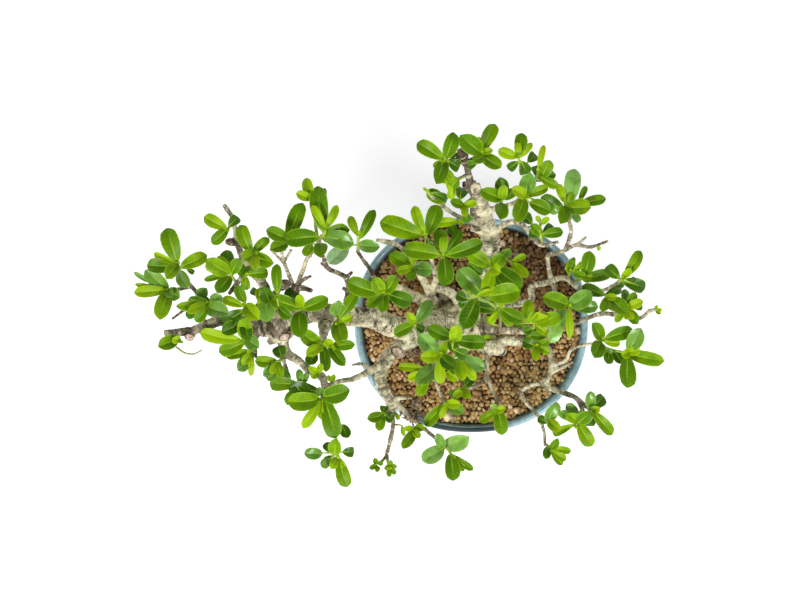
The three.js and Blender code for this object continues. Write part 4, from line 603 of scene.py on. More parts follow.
# Leaves of the solids are wider than this on the plan, and may be bent by one of these angles, in degrees
LEAST_SOLID_WIDTH = 7.5
BENDS = (0, 6, -6, 12, -12, 18, -18, 24, -24, 30, -30, 38, -38, 46, -46, 54, 62, 70)
LEAFY_SHARE = 0.75
LEAF_ASPECT = 2.25
LEAST_PITCH = math.radians(5)
MOST_PITCH = math.radians(48)

# Blades: how much broader than drawn, arch as a share of the length, fold along the rib, and millimetres
LEAF_BREADTH = 1.12
LEAF_ARCH = 0.115
LEAF_FOLD = 0.42
LEAF_THICKNESS = 0.45
LEAST_HALF_BREADTH = 0.42

# Wood and stems, in millimetres; limbs thinner than THIN_TWIG are plain rods
STEM_FOOT = 1.25
STEM_TIP = 0.85
THIN_TWIG = 3.4
WOOD_VOXEL = 0.85
AXIS_PITCH = 1.1


# Curves

def unit(vector):
    """The vector at a length of 1."""
    return vector / max(np.linalg.norm(vector), 1e-9)


class Bough:
    """A centripetal Catmull-Rom curve through places, measured along its length."""

    def __init__(self, points, divisions=200):
        self.points = [np.array(point, float) for point in points]
        self.spans = len(points) - 1
        track = np.array([self.at_step(i / divisions) for i in range(divisions + 1)])
        steps = np.linalg.norm(np.diff(track, axis=0), axis=1)
        self.lengths = [0.0, *np.cumsum(steps)]
        self.length = self.lengths[-1]

    def at_step(self, step):
        span = min(int(step * self.spans), self.spans - 1)
        share = step * self.spans - span
        p1, p2 = self.points[span], self.points[span + 1]
        p0 = self.points[span - 1] if span > 0 else 2 * p1 - p2
        p3 = self.points[span + 2] if span + 2 <= self.spans else 2 * p2 - p1
        d0, d1, d2 = (math.sqrt(np.linalg.norm(b - a)) for a, b in ((p0, p1), (p1, p2), (p2, p3)))
        start = ((p1 - p0) / d0 - (p2 - p0) / (d0 + d1) + (p2 - p1) / d1) * d1
        end = ((p2 - p1) / d1 - (p3 - p1) / (d1 + d2) + (p3 - p2) / d2) * d1
        square = -3 * p1 + 3 * p2 - 2 * start - end
        cube = 2 * p1 - 2 * p2 + start + end
        return p1 + start * share + square * share ** 2 + cube * share ** 3

    def step(self, along):
        """The curve's own step for a share of its length."""
        target = along * self.length
        i = min(bisect.bisect_right(self.lengths, target) - 1, len(self.lengths) - 2)
        part = (target - self.lengths[i]) / max(self.lengths[i + 1] - self.lengths[i], 1e-9)
        return (i + part) / (len(self.lengths) - 1)

    def at(self, along):
        return self.at_step(self.step(along))


def framed(places):
    """Tangent, normal and binormal at each place of a row, without twist along it."""
    tangents = np.gradient(places, axis=0)
    tangents /= np.linalg.norm(tangents, axis=1)[:, None]
    start = np.cross(tangents[0], (0.0, 0.0, 1.0))
    normals = [unit(start if np.linalg.norm(start) > 0.1 else np.array((1.0, 0.0, 0.0)))]
    for tangent in tangents[1:]:
        normals.append(unit(normals[-1] - tangent * np.dot(normals[-1], tangent)))
    normals = np.array(normals)
    return tangents, normals, np.cross(tangents, normals)


# How far apart two limbs are in the bark's pattern, so that no two look alike
APART = 137.0
AT_ONCE = 4000


class Axis:
    """Samples along the middle of every limb: place, radius, frame and way along."""

    def __init__(self, limbs, pitch):
        kept = ("place", "radius", "tangent", "normal", "binormal", "way", "share", "limb")
        rows = {key: [] for key in kept}
        self.names = list(limbs)
        self.lengths = []
        for number, points in enumerate(limbs.values()):
            bough = Bough([place(*point[:3]) for point in points])
            count = max(int(bough.length / pitch) + 1, 3)
            shares = np.linspace(0, 1, count)
            places = np.array([bough.at(share) for share in shares])
            spots = [min(bough.step(share) * bough.spans, bough.spans - 1e-6) for share in shares]
            diameters = np.interp(spots, range(len(points)), [point[3] for point in points])
            tangents, normals, binormals = framed(places)
            self.lengths.append(count)
            rows["place"].append(places)
            rows["radius"].append(diameters / 2)
            rows["tangent"].append(tangents)
            rows["normal"].append(normals)
            rows["binormal"].append(binormals)
            rows["way"].append(shares * bough.length + APART * number)
            rows["share"].append(shares)
            rows["limb"].append(np.full(count, number))
        for key, parts in rows.items():
            setattr(self, key, np.concatenate(parts))

    def nearest(self, points):
        """For each place, the sample whose surface is nearest."""
        found = np.empty(len(points), int)
        radius = self.radius.astype(np.float32)
        centres = self.place.astype(np.float32)
        squares = (centres ** 2).sum(1)
        for first in range(0, len(points), AT_ONCE):
            part = points[first:first + AT_ONCE].astype(np.float32)
            apart = (part ** 2).sum(1)[:, None] + squares[None, :] - 2 * part @ centres.T
            found[first:first + AT_ONCE] = (np.sqrt(np.maximum(apart, 0)) - radius[None, :]).argmin(1)
        return found


# Modelling helpers

def select_only(*pieces):
    bpy.ops.object.select_all(action="DESELECT")
    for piece in pieces:
        piece.select_set(True)
    bpy.context.view_layer.objects.active = pieces[0]


def apply_modifier(piece, kind, **settings):
    select_only(piece)
    modifier = piece.modifiers.new(kind.lower(), kind)
    for key, value in settings.items():
        setattr(modifier, key, value)
    bpy.ops.object.modifier_apply(modifier=modifier.name)


def added(name, operator, **settings):
    """Adds a primitive with an operator, and names it."""
    bpy.ops.object.select_all(action="DESELECT")
    operator(**settings)
    piece = bpy.context.active_object
    piece.name = name
    return piece


def settle(piece):
    """Puts the piece's place into its mesh, with its object at the origin."""
    select_only(piece)
    bpy.ops.object.transform_apply(location=True, rotation=True, scale=True)


def joined(name, pieces):
    """One piece of several."""
    select_only(*pieces)
    if len(pieces) > 1:
        bpy.ops.object.join()
    whole = bpy.context.active_object
    whole.name = name
    whole.data.name = name
    return whole


def places_of(mesh):
    """Places of a mesh's points, in millimetres."""
    flat = np.empty(len(mesh.vertices) * 3, np.float32)
    mesh.vertices.foreach_get("co", flat)
    return flat.reshape(-1, 3).astype(float) / MM


def set_places(mesh, points):
    mesh.vertices.foreach_set("co", (np.asarray(points) * MM).astype(np.float32).ravel())
    mesh.update()


def normals_of(mesh):
    flat = np.empty(len(mesh.vertices) * 3, np.float32)
    mesh.vertex_normals.foreach_get("vector", flat)
    return flat.reshape(-1, 3).astype(float)


def set_tones(mesh, domain="POINT", **tones):
    """Keeps numbers on a mesh for its material, under their names."""
    for name, values in tones.items():
        values = np.asarray(values, np.float32)
        kind = "FLOAT_VECTOR" if values.ndim == 2 else "FLOAT"
        attribute = mesh.attributes.get(name) or mesh.attributes.new(name, kind, domain)
        attribute.data.foreach_set("vector" if values.ndim == 2 else "value", values.ravel())


def smooth(mesh):
    mesh.polygons.foreach_set("use_smooth", [True] * len(mesh.polygons))
    mesh.update()


def mesh_piece(name, points, faces):
    mesh = bpy.data.meshes.new(name)
    mesh.from_pydata((np.asarray(points) * MM).tolist(), [], faces)
    mesh.update()
    piece = bpy.data.objects.new(name, mesh)
    bpy.context.scene.collection.objects.link(piece)
    return piece


def rods(name, rows, resolution):
    """Round rods of changing thickness, one for each row of (places, radii), made as a bevelled curve."""
    piece = added(name, bpy.ops.curve.primitive_nurbs_path_add)
    curve = piece.data
    curve.splines.clear()
    curve.dimensions = "3D"
    curve.bevel_depth = MM
    curve.bevel_resolution = resolution
    curve.use_fill_caps = True
    for places, radii in rows:
        spline = curve.splines.new("POLY")
        spline.points.add(len(places) - 1)
        for point, spot, radius in zip(spline.points, places, radii):
            point.co = (*(spot * MM), 1)
            point.radius = radius
    select_only(piece)
    bpy.ops.object.convert(target="MESH")
    piece = bpy.context.active_object
    piece.name = name
    piece.data.name = name
    return piece


def coat(piece, material):
    """Gives a piece one material."""
    piece.data.materials.clear()
    piece.data.materials.append(material)


def dress(piece, slot, *instead_of):
    """Says which body a finished piece rides on and hides the nodes that it stands for; its slot is not used.
    """
    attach(piece, "root")
    if instead_of:
        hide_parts(*instead_of)


# Materials

class Nodes:
    """Short ways to lay nodes in one tree: a socket that is handed in is linked, and a value is set."""

    def __init__(self, tree):
        self.tree = tree

    def feed(self, socket, value):
        if isinstance(value, bpy.types.NodeSocket):
            self.tree.links.new(value, socket)
        else:
            socket.default_value = value

    def node(self, kind, inputs=(), **settings):
        """One node with its settings, and its inputs by number or name."""
        made = self.tree.nodes.new(kind)
        for key, value in settings.items():
            setattr(made, key, value)
        for key, value in dict(inputs).items():
            self.feed(made.inputs[key], value)
        return made

    def mixed(self, share, first, second):
        """A colour between two, by a share from 0 to 1."""
        return self.node(
            "ShaderNodeMix", {0: share, 6: first, 7: second}, data_type="RGBA", clamp_factor=True,
        ).outputs[2]

    def maths(self, operation, first, second=0.0):
        return self.node("ShaderNodeMath", {0: first, 1: second}, operation=operation).outputs[0]

    def plus(self, first, second):
        return self.maths("ADD", first, second)

    def minus(self, first, second):
        return self.maths("SUBTRACT", first, second)

    def times(self, first, second):
        return self.maths("MULTIPLY", first, second)

    def stretched(self, value, low, high, first=0.0, last=1.0):
        """A value brought from one range to another and held inside it."""
        ranges = {0: value, 1: low, 2: high, 3: first, 4: last}
        return self.node("ShaderNodeMapRange", ranges, interpolation_type="SMOOTHSTEP").outputs[0]

    def tone(self, name, kind="Fac"):
        """A number or a place that a mesh keeps under a name."""
        return self.node("ShaderNodeAttribute", attribute_name=name, attribute_type="GEOMETRY").outputs[kind]


VECTOR, VALUE, COLOUR = "NodeSocketVector", "NodeSocketFloat", "NodeSocketColor"


def new_effect(name, inputs, outputs):
    """A node group for several materials, with its sockets by name and kind."""
    group = bpy.data.node_groups.new(name, "ShaderNodeTree")
    for way, sockets in (("INPUT", inputs), ("OUTPUT", outputs)):
        for key, kind in sockets.items():
            group.interface.new_socket(key, in_out=way, socket_type=kind)
    return Nodes(group), group.nodes.new("NodeGroupInput").outputs, group.nodes.new("NodeGroupOutput").inputs


def make_mottle():
    """Soft two-tone cloudiness: a mask and a colour between two, at a size given in millimetres."""
    group, given, result = new_effect(
        "mottle",
        {"Place": VECTOR, "Size": VALUE, "From": VALUE, "To": VALUE, "First": COLOUR, "Second": COLOUR},
        {"Color": COLOUR, "Mask": VALUE},
    )
    scale = group.maths("DIVIDE", 1.0, given["Size"])
    cloud = group.node("ShaderNodeTexNoise", {"Vector": given["Place"], "Scale": scale, "Detail": 4.0})
    mask = group.stretched(cloud.outputs[0], given["From"], given["To"])
    group.feed(result["Mask"], mask)
    group.feed(result["Color"], group.mixed(mask, given["First"], given["Second"]))
    return group.tree


def make_specks():
    """Small scattered specks, at a spacing given in millimetres."""
    group, given, result = new_effect(
        "specks", {"Place": VECTOR, "Spacing": VALUE, "Amount": VALUE}, {"Mask": VALUE},
    )
    scale = group.maths("DIVIDE", 1.0, given["Spacing"])
    cells = group.node("ShaderNodeTexVoronoi", {"Vector": given["Place"], "Scale": scale, "Randomness": 1.0})
    group.feed(result["Mask"], group.maths("LESS_THAN", cells.outputs["Distance"], given["Amount"]))
    return group.tree


def make_cracks():
    """Thin winding lines between patches, at a patch size given in millimetres."""
    group, given, result = new_effect(
        "cracks", {"Place": VECTOR, "Size": VALUE, "Width": VALUE}, {"Mask": VALUE},
    )
    scale = group.maths("DIVIDE", 1.0, given["Size"])
    settings = {"Vector": given["Place"], "Scale": scale, "Detail": 3.0, "Distortion": 0.5}
    cloud = group.node("ShaderNodeTexNoise", settings)
    off = group.maths("ABSOLUTE", group.minus(cloud.outputs[0], 0.5))
    group.feed(result["Mask"], group.stretched(off, given["Width"], 0.0))
    return group.tree


MOTTLE = make_mottle()
SPECKS = make_specks()
CRACKS = make_cracks()
BLACK = (0, 0, 0, 1)
WHITE = (1, 1, 1, 1)


def rgb(red, green, blue):
    """A colour read in screen values from 0 to 255, as the shader wants it."""
    def straight(value):
        share = value / 255
        return share / 12.92 if share <= 0.04045 else ((share + 0.055) / 1.055) ** 2.4
    return (straight(red), straight(green), straight(blue), 1.0)


class Paint(Nodes):
    """A material as it's built up: its shader's inputs, its place in millimetres and its colour so far."""

    def __init__(self, name, **values):
        self.material = bpy.data.materials.new(name)
        self.material.use_nodes = True
        super().__init__(self.material.node_tree)
        self.shader = self.tree.nodes["Principled BSDF"].inputs
        for key, value in values.items():
            self.shader[key.replace("_", " ").title().replace("Ior", "IOR")].default_value = value
        metres = self.node("ShaderNodeTexCoord").outputs["Object"]
        self.spot = self.node("ShaderNodeVectorMath", {0: metres, 3: 1 / MM}, operation="SCALE").outputs[0]
        self.colour = None

    def effect(self, group, spot, given):
        return self.node("ShaderNodeGroup", {"Place": spot or self.spot, **given}, node_tree=group).outputs

    def mottle(self, size, low, high, first=BLACK, second=WHITE, spot=None):
        given = {"Size": size, "From": low, "To": high, "First": first, "Second": second}
        return self.effect(MOTTLE, spot, given)

    def two_tone(self, size, low, high, first, second):
        return self.mottle(size, low, high, first, second)["Color"]

    def cloud(self, size, low, high, spot=None):
        return self.mottle(size, low, high, spot=spot)["Mask"]

    def specks(self, spacing, amount):
        return self.effect(SPECKS, None, {"Spacing": spacing, "Amount": amount})["Mask"]

    def cracks(self, size, width, spot=None):
        return self.effect(CRACKS, spot, {"Size": size, "Width": width})["Mask"]

    def ramp(self, value, *stops):
        """Starts the colour from a value, by stops of (value, colour)."""
        made = self.node("ShaderNodeValToRGB", {0: value})
        elements = made.color_ramp.elements
        while len(elements) < len(stops):
            elements.new(0.5)
        for element, (along, colour) in zip(elements, stops):
            element.position = along
            element.color = colour
        self.colour = made.outputs[0]

    def cover(self, mask, strength, colour):
        """Lays a colour over the one so far, where a mask says and at most at a strength."""
        self.colour = self.mixed(self.times(mask, strength), self.colour, colour)

    def finished(self, height, distance, strength):
        """Hands the colour, and a relief of a depth in millimetres, to the shader."""
        relief = {"Height": height, "Distance": distance * MM, "Strength": strength}
        self.feed(self.shader["Normal"], self.node("ShaderNodeBump", relief).outputs[0])
        self.feed(self.shader["Base Color"], self.colour)
        return self.material


# Where the front of the rim is painted dark, as painted shade and a painted dark reflection in the glossy
# glaze, and how far round that place, in millimetres
DARK_RIM = (462, 431, POT_HEIGHT)
POOL_FROM, POOL_TO = 22.0, 46.0


def make_glaze():
    paint = Paint("pot_glaze", roughness=0.16, coat_weight=0.35, coat_roughness=0.06)
    # Painted light: the outer lip is laid in a paler glaze than the inner wall, a painted reflection of the
    # bright room, by the share of light kept on the pot
    lip = paint.tone("lip")
    wall = paint.two_tone(9.0, 0.35, 0.7, rgb(58, 92, 104), rgb(84, 122, 134))
    pale = paint.two_tone(5.0, 0.3, 0.7, rgb(134, 170, 182), rgb(164, 195, 203))
    paint.colour = paint.mixed(paint.stretched(lip, 0.15, 0.85), wall, pale)
    # Painted shade and painted dark reflection: the outer lip turns charcoal near the front of the rim
    ends = {0: paint.spot, 1: tuple(place(*DARK_RIM))}
    away = paint.node("ShaderNodeVectorMath", ends, operation="DISTANCE")
    pooled = paint.stretched(away.outputs["Value"], POOL_TO, POOL_FROM, 0.0, 0.92)
    paint.cover(pooled, paint.stretched(lip, 0.72, 0.9), rgb(30, 35, 35))
    crackle = paint.cloud(1.6, 0.52, 0.6)
    paint.cover(crackle, 0.22, rgb(38, 62, 70))
    pits = paint.specks(2.2, 0.13)
    paint.cover(pits, 0.5, rgb(30, 48, 54))
    rough = paint.stretched(paint.cloud(3.0, 0.3, 0.7), 0, 1, 0.12, 0.24)
    paint.feed(paint.shader["Roughness"], rough)
    waves = paint.cloud(7.0, 0.2, 0.8)
    return paint.finished(paint.minus(waves, paint.times(pits, 0.5)), 0.25, 0.5)


def make_plastic():
    paint = Paint("screen_plastic", roughness=0.55)
    dust = paint.mottle(4.0, 0.45, 0.65, rgb(40, 40, 38), rgb(92, 74, 56))
    paint.colour = dust["Color"]
    return paint.finished(dust["Mask"], 0.1, 0.6)


def make_deep_clay():
    paint = Paint("packed_clay", roughness=0.95)
    # Painted shade: the clay under the crumbs is darker than the crumbs, standing for the shade in the gaps
    # between them
    crumb = paint.mottle(2.6, 0.35, 0.65, rgb(46, 28, 16), rgb(96, 64, 40))
    paint.colour = crumb["Color"]
    return paint.finished(crumb["Mask"], 1.2, 1.0)


def make_crumb_clay():
    paint = Paint("baked_clay", roughness=0.85)
    paint.ramp(
        paint.tone("crumb_tone"), (0.0, rgb(118, 84, 46)), (0.3, rgb(182, 140, 84)),
        (0.6, rgb(216, 176, 114)), (0.85, rgb(236, 200, 142)), (1.0, rgb(250, 226, 184)),
    )
    grain = paint.cloud(0.9, 0.35, 0.7)
    paint.cover(grain, 0.35, rgb(120, 84, 50))
    dust = paint.cloud(2.4, 0.55, 0.75)
    paint.cover(dust, 0.3, rgb(206, 172, 134))
    # Painted shadow: crumbs inside the shadow patches are darkened and reddened
    paint.cover(paint.tone("crumb_damp"), 0.62, rgb(96, 58, 34))
    paint.cover(paint.tone("crumb_olive"), 0.3, rgb(150, 140, 84))
    # Painted shade on the lower side of each crumb
    paint.cover(paint.tone("crumb_side"), 0.7, rgb(70, 45, 22))
    return paint.finished(grain, 0.25, 0.8)


def make_bark():
    paint = Paint("bark", roughness=0.78)
    brown, green, sunk, cut = (paint.tone(f"bark_{name}") for name in ("brown", "green", "sunk", "cut"))
    pale = paint.two_tone(6.0, 0.35, 0.65, rgb(244, 235, 198), rgb(212, 200, 164))
    dark = paint.two_tone(4.0, 0.35, 0.65, rgb(106, 85, 60), rgb(66, 52, 37))
    patch = paint.times(paint.cloud(7.0, 0.25, 0.75), 0.4)
    paint.colour = paint.mixed(paint.stretched(paint.plus(brown, patch), 0.36, 1.25), pale, dark)
    moss = paint.times(paint.stretched(green, 0.02, 0.5), paint.cloud(3.2, 0.4, 0.62))
    paint.cover(moss, 0.75, rgb(126, 128, 84))
    # Patterns at flat places run round the limb
    local = paint.tone("limb_place", "Vector")
    flat = paint.node("ShaderNodeMapping", {"Vector": local, "Scale": (1.0, 0.3, 0.3)}).outputs[0]
    paint.cover(paint.cloud(3.0, 0.5, 0.66, flat), 0.6, rgb(246, 239, 206))
    rough = paint.cloud(9.0, 0.35, 0.6)
    rings = paint.times(paint.cracks(2.6, 0.05, flat), paint.stretched(rough, 0.1, 1.0))
    seams = paint.times(paint.cracks(5.5, 0.028), paint.stretched(rough, 0.3, 1.0))
    lines = paint.maths("MAXIMUM", rings, seams)
    paint.cover(lines, 0.9, rgb(76, 58, 44))
    paint.cover(paint.cloud(2.4, 0.63, 0.7, flat), 0.7, rgb(110, 88, 66))
    pores = paint.specks(1.9, 0.16)
    paint.cover(pores, 0.55, rgb(84, 64, 50))
    # Painted shade in the bark's wrinkles and grooves, together with the dark rims and eyes of its marks
    paint.cover(paint.stretched(sunk, 0.15, 0.9), 0.95, rgb(44, 33, 25))
    wood = paint.two_tone(2.0, 0.3, 0.7, rgb(236, 208, 194), rgb(176, 140, 120))
    paint.cover(paint.stretched(cut, 0.3, 0.7), 1.0, wood)
    fine = paint.times(paint.cloud(1.2, 0.3, 0.7), 0.5)
    relief = paint.minus(paint.minus(fine, lines), paint.times(pores, 0.7))
    return paint.finished(relief, 0.45, 0.8)


def make_leaf():
    paint = Paint(
        "leaf", roughness=0.32, coat_roughness=0.22, specular_ior_level=0.13, emission_strength=0.06,
    )
    age, chance, under, gloss, sheen = (
        paint.tone(f"leaf_{name}") for name in ("age", "draw", "under", "gloss", "pale")
    )
    chart = paint.node("ShaderNodeUVMap", uv_map="blade").outputs[0]
    parts = paint.node("ShaderNodeSeparateXYZ", {0: chart}).outputs
    across = paint.maths("ABSOLUTE", paint.minus(paint.times(parts[0], 2.0), 1.0))
    along = parts[1]
    shift = paint.times(paint.minus(chance, 0.5), 0.36)
    drift = paint.times(paint.minus(paint.cloud(8.0, 0.3, 0.7), 0.5), 0.26)
    paint.ramp(
        paint.plus(paint.plus(age, shift), drift), (0.0, rgb(142, 174, 0)), (0.2, rgb(117, 154, 0)),
        (0.45, rgb(88, 128, 0)), (0.7, rgb(78, 122, 4)), (1.0, rgb(55, 97, 4)),
    )
    foot = paint.stretched(along, 0.3, 0.04)
    paint.cover(foot, 0.5, rgb(160, 196, 30))
    slant = paint.minus(paint.times(along, 9.0), paint.times(across, 1.6))
    vein = paint.stretched(paint.maths("PINGPONG", slant, 0.5), 0.08, 0.0)
    paint.cover(vein, 0.3, rgb(158, 196, 42))
    rib = paint.times(paint.stretched(across, 0.12, 0.04), paint.stretched(along, 1.0, 0.3))
    paint.cover(rib, 0.6, rgb(176, 208, 64))
    # A paler margin: partly the leaf's own paler edge, partly a painted highlight where the curled edge
    # catches the light
    rim = paint.stretched(across, 0.88, 0.96)
    paint.cover(rim, 0.6, rgb(164, 198, 50))
    # Painted sheen: a paler bluish green laid over glossy and pale leaves, standing in for the sky they
    # reflect
    haze = paint.plus(paint.times(paint.cloud(7.0, 0.3, 0.62), 0.7), 0.3)
    paint.cover(haze, sheen, rgb(140, 188, 92))
    paint.cover(under, 1.0, paint.two_tone(3.0, 0.3, 0.7, rgb(124, 156, 102), rgb(146, 176, 122)))
    # Painted glow: the leaf gives off a faint light in its own colour, standing in for light through the
    # blade and lifting its shaded parts
    paint.feed(paint.shader["Emission Color"], paint.colour)
    rough = paint.plus(paint.stretched(gloss, 0.0, 1.0, 0.42, 0.26), paint.times(under, 0.2))
    paint.feed(paint.shader["Roughness"], rough)
    paint.feed(paint.shader["Coat Weight"], paint.stretched(gloss, 0.35, 1.0, 0.0, 0.5))
    fine = paint.times(paint.cloud(0.9, 0.3, 0.7), 0.12)
    return paint.finished(paint.minus(fine, paint.plus(rib, vein)), 0.16, 0.5)


def make_young_bark():
    """Bark of a young stem, brown at its foot and green at its tip."""
    paint = Paint("young_bark", roughness=0.55)
    foot = paint.two_tone(2.2, 0.35, 0.65, rgb(150, 136, 104), rgb(122, 112, 84))
    tip = paint.two_tone(2.6, 0.35, 0.65, rgb(170, 196, 70), rgb(146, 178, 44))
    paint.colour = paint.mixed(paint.stretched(paint.tone("stem_way"), 0.0, 0.65), foot, tip)
    paint.cover(paint.specks(1.1, 0.16), 0.5, rgb(206, 200, 170))
    return paint.finished(paint.cloud(0.8, 0.3, 0.7), 0.1, 0.6)


def make_dry_leaf():
    paint = Paint("dry_leaf", roughness=0.8)
    paint.colour = paint.two_tone(2.4, 0.35, 0.65, rgb(176, 152, 116), rgb(70, 56, 42))
    return paint.finished(paint.cloud(1.0, 0.3, 0.7), 0.2, 0.7)


def make_paper_floor():
    paint = Paint("pale_floor", roughness=0.9, emission_color=WHITE, emission_strength=0.69)
    grey = paint.two_tone(400.0, 0.3, 0.7, (0.46, 0.46, 0.46, 1), (0.48, 0.48, 0.48, 1))
    paint.feed(paint.shader["Base Color"], grey)
    return paint.material


GLAZE = make_glaze()
MESH_PLASTIC = make_plastic()
DEEP_CLAY = make_deep_clay()
CRUMB_CLAY = make_crumb_clay()
BARK = make_bark()
LEAF = make_leaf()
YOUNG_BARK = make_young_bark()
DRY_LEAF = make_dry_leaf()


# Pot

SHARP_FROM = math.radians(50)


def press_to_outline(points):
    """Brings round places about the pot's middle to the pot's softly squared outline."""
    x, y = points[:, 0], points[:, 1]
    radius = np.hypot(x, y)
    power = 2 / POT_SQUARENESS
    safe = np.maximum(radius, 1e-9)
    pressed = points.copy()
    pressed[:, 0] = radius * np.sign(x) * np.abs(x / safe) ** power
    pressed[:, 1] = radius * POT_DEPTH / POT_WIDTH * np.sign(y) * np.abs(y / safe) ** power
    pressed[:, 1] *= 1 - BACK_LEAN * np.interp(points[:, 2], LEAN_HEIGHTS, (0, 1)) * (y > 0)
    return pressed


def outline_radius(x, y):
    """How far out a place near the rim is, in the round measure that press_to_outline() starts from."""
    lean = 1 - BACK_LEAN * (np.asarray(y) > 0)
    across = np.abs(x) ** POT_SQUARENESS
    along = np.abs(y / lean * POT_WIDTH / POT_DEPTH) ** POT_SQUARENESS
    return (across + along) ** (1 / POT_SQUARENESS)


# Radius and height round the wall's section: up the outside, over the rim and down the inside
POT_PROFILE = (
    (DRAIN_RADIUS, FOOT_HEIGHT + 0.6), (DRAIN_RADIUS + 0.6, FOOT_HEIGHT), (59, FOOT_HEIGHT),
    (62.5, FOOT_HEIGHT + 0.9), (65, FOOT_HEIGHT + 3), (68.5, 12.5), (72.5, 19.5), (76, 27), (79.2, 35.5),
    (82, 44), (84.5, 52), (87.2, 59.5), (89.2, 64.6), (89.9, 67.4), (90, 69.2), (89.7, 70.6), (89.0, 71.5),
    (88, 71.95), (86.8, 71.95), (85.7, 71.4), (84.9, 70.2), (84.2, 68.4), (83.2, 65), (82, 59), (79, 46),
    (75, 34.5), (70.8, 24.5), (67, 17), (63.5, 12.2), (58, FLOOR_TOP), (DRAIN_RADIUS + 0.6, FLOOR_TOP),
    (DRAIN_RADIUS, FLOOR_TOP - 0.6), (DRAIN_RADIUS, FOOT_HEIGHT + 0.6),
)
# Heights and radii of the inside of the wall, and heights and the share of painted light on the glaze outside
# it, growing towards the rim
INSIDE = ((10, 46, 68, 72), (60, 79, 83.2, 84.2))
PALENESS = ((40, 66, 71), (0.45, 0.75, 1.0))
FEET = 4
FEET_REACH = 50


def spun_profile():
    """The pot's wall: one point, drawn out along the profile and spun round."""
    pot = added("glazed_pot", bpy.ops.mesh.primitive_plane_add, size=MM)
    bpy.ops.object.mode_set(mode="EDIT")
    bpy.ops.mesh.select_all(action="SELECT")
    bpy.ops.mesh.merge(type="CENTER")
    at = (0.0, 0.0)
    for radius, height in POT_PROFILE:
        move = ((radius - at[0]) * MM, 0, (height - at[1]) * MM)
        if at == (0.0, 0.0):
            bpy.ops.transform.translate(value=move)
        else:
            bpy.ops.mesh.extrude_region_move(TRANSFORM_OT_translate={"value": move})
        at = (radius, height)
    bpy.ops.mesh.select_all(action="SELECT")
    bpy.ops.mesh.spin(steps=160, angle=math.tau, center=(0, 0, 0), axis=(0, 0, 1))
    bpy.ops.mesh.select_all(action="SELECT")
    bpy.ops.mesh.remove_doubles(threshold=MM * 1e-3)
    bpy.ops.mesh.normals_make_consistent(inside=False)
    bpy.ops.object.mode_set(mode="OBJECT")
    set_places(pot.data, press_to_outline(places_of(pot.data)))
    return pot


def make_feet():
    feet = []
    for number in range(FEET):
        angle = math.tau * (number + 0.5) / FEET
        across, along = FEET_REACH * MM * math.cos(angle), FEET_REACH * MM * math.sin(angle)
        foot = added(
            f"foot_{number}", bpy.ops.mesh.primitive_cone_add, vertices=40, radius1=7 * MM, radius2=8.5 * MM,
            depth=6 * MM, location=(across, along, 3 * MM),
        )
        bpy.ops.object.mode_set(mode="EDIT")
        bpy.ops.mesh.select_all(action="SELECT")
        bpy.ops.mesh.bevel(offset=0.7 * MM, segments=2, affect="EDGES")
        bpy.ops.object.mode_set(mode="OBJECT")
        settle(foot)
        feet.append(foot)
    return joined("feet", feet)


def make_pot():
    pot, feet = spun_profile(), make_feet()
    apply_modifier(pot, "BOOLEAN", operation="UNION", object=feet, solver="MANIFOLD")
    bpy.data.objects.remove(feet)
    points = places_of(pot.data)
    radius = outline_radius(points[:, 0], points[:, 1])
    # Share of painted light on the glaze: none on the inner wall, more up the outside towards the lip
    outward = np.clip((radius - np.interp(points[:, 2], *INSIDE)) / 2.2, 0, 1)
    set_tones(pot.data, lip=outward * np.interp(points[:, 2], *PALENESS))
    set_places(pot.data, points + np.array((*POT_OFFSET, 0)))
    smooth(pot.data)
    select_only(pot)
    bpy.ops.object.shade_smooth_by_angle(angle=SHARP_FROM)
    coat(pot, GLAZE)
    dress(pot, "pot_glaze", "pot")


# Wood

# Marks on the wood: millimetres to a step of the plan, and how far below its highest point a mark reaches
MARK_SIZE = 0.76
MARK_DEPTH = 9


def tinted_share(axis, found):
    """Brown and green of the bark for each place, by its limb and way along it."""
    tints = np.array([BARK_TINTS.get(name, PALE_BARK) for name in axis.names])
    limb, share = axis.limb[found], axis.share[found][:, None]
    both = tints[limb, :2] * (1 - share) + tints[limb, 2:] * share
    brown = both[:, 0] + np.interp(axis.radius[found], (1.0, 3.5), (0.42, 0.0)) * (1 - both[:, 0])
    return brown, both[:, 1]


def noise_at(points, size, seed=0.0):
    """Smooth noise from about -1 to 1 for each place, with lumps of a size in millimetres."""
    moved = points / size + seed
    return np.array([noise.noise(Vector(point)) for point in moved])


def limb_places(axis, found, points):
    """Places measured from their limb: along it and two ways across it."""
    off = points - axis.place[found]
    return np.stack((
        axis.way[found] + (off * axis.tangent[found]).sum(1),
        (off * axis.normal[found]).sum(1),
        (off * axis.binormal[found]).sum(1),
    ), axis=1)


def cut_share(axis, found, points, normals):
    """1 on the flat end of a cut limb."""
    cut = np.zeros(len(points))
    for name in CUT_ENDS:
        number = axis.names.index(name)
        last = np.nonzero(axis.limb == number)[0][-1]
        off = points - axis.place[last]
        near = np.linalg.norm(off, axis=1) < axis.radius[last] * 1.6 + 0.6
        facing = (normals @ axis.tangent[last]) > 0.5
        cut[near & facing & (axis.limb[found] == number)] = 1
    return cut


def dip(away, width):
    """1 at the middle, falling away over a width."""
    return np.exp(-(away / width) ** 2)


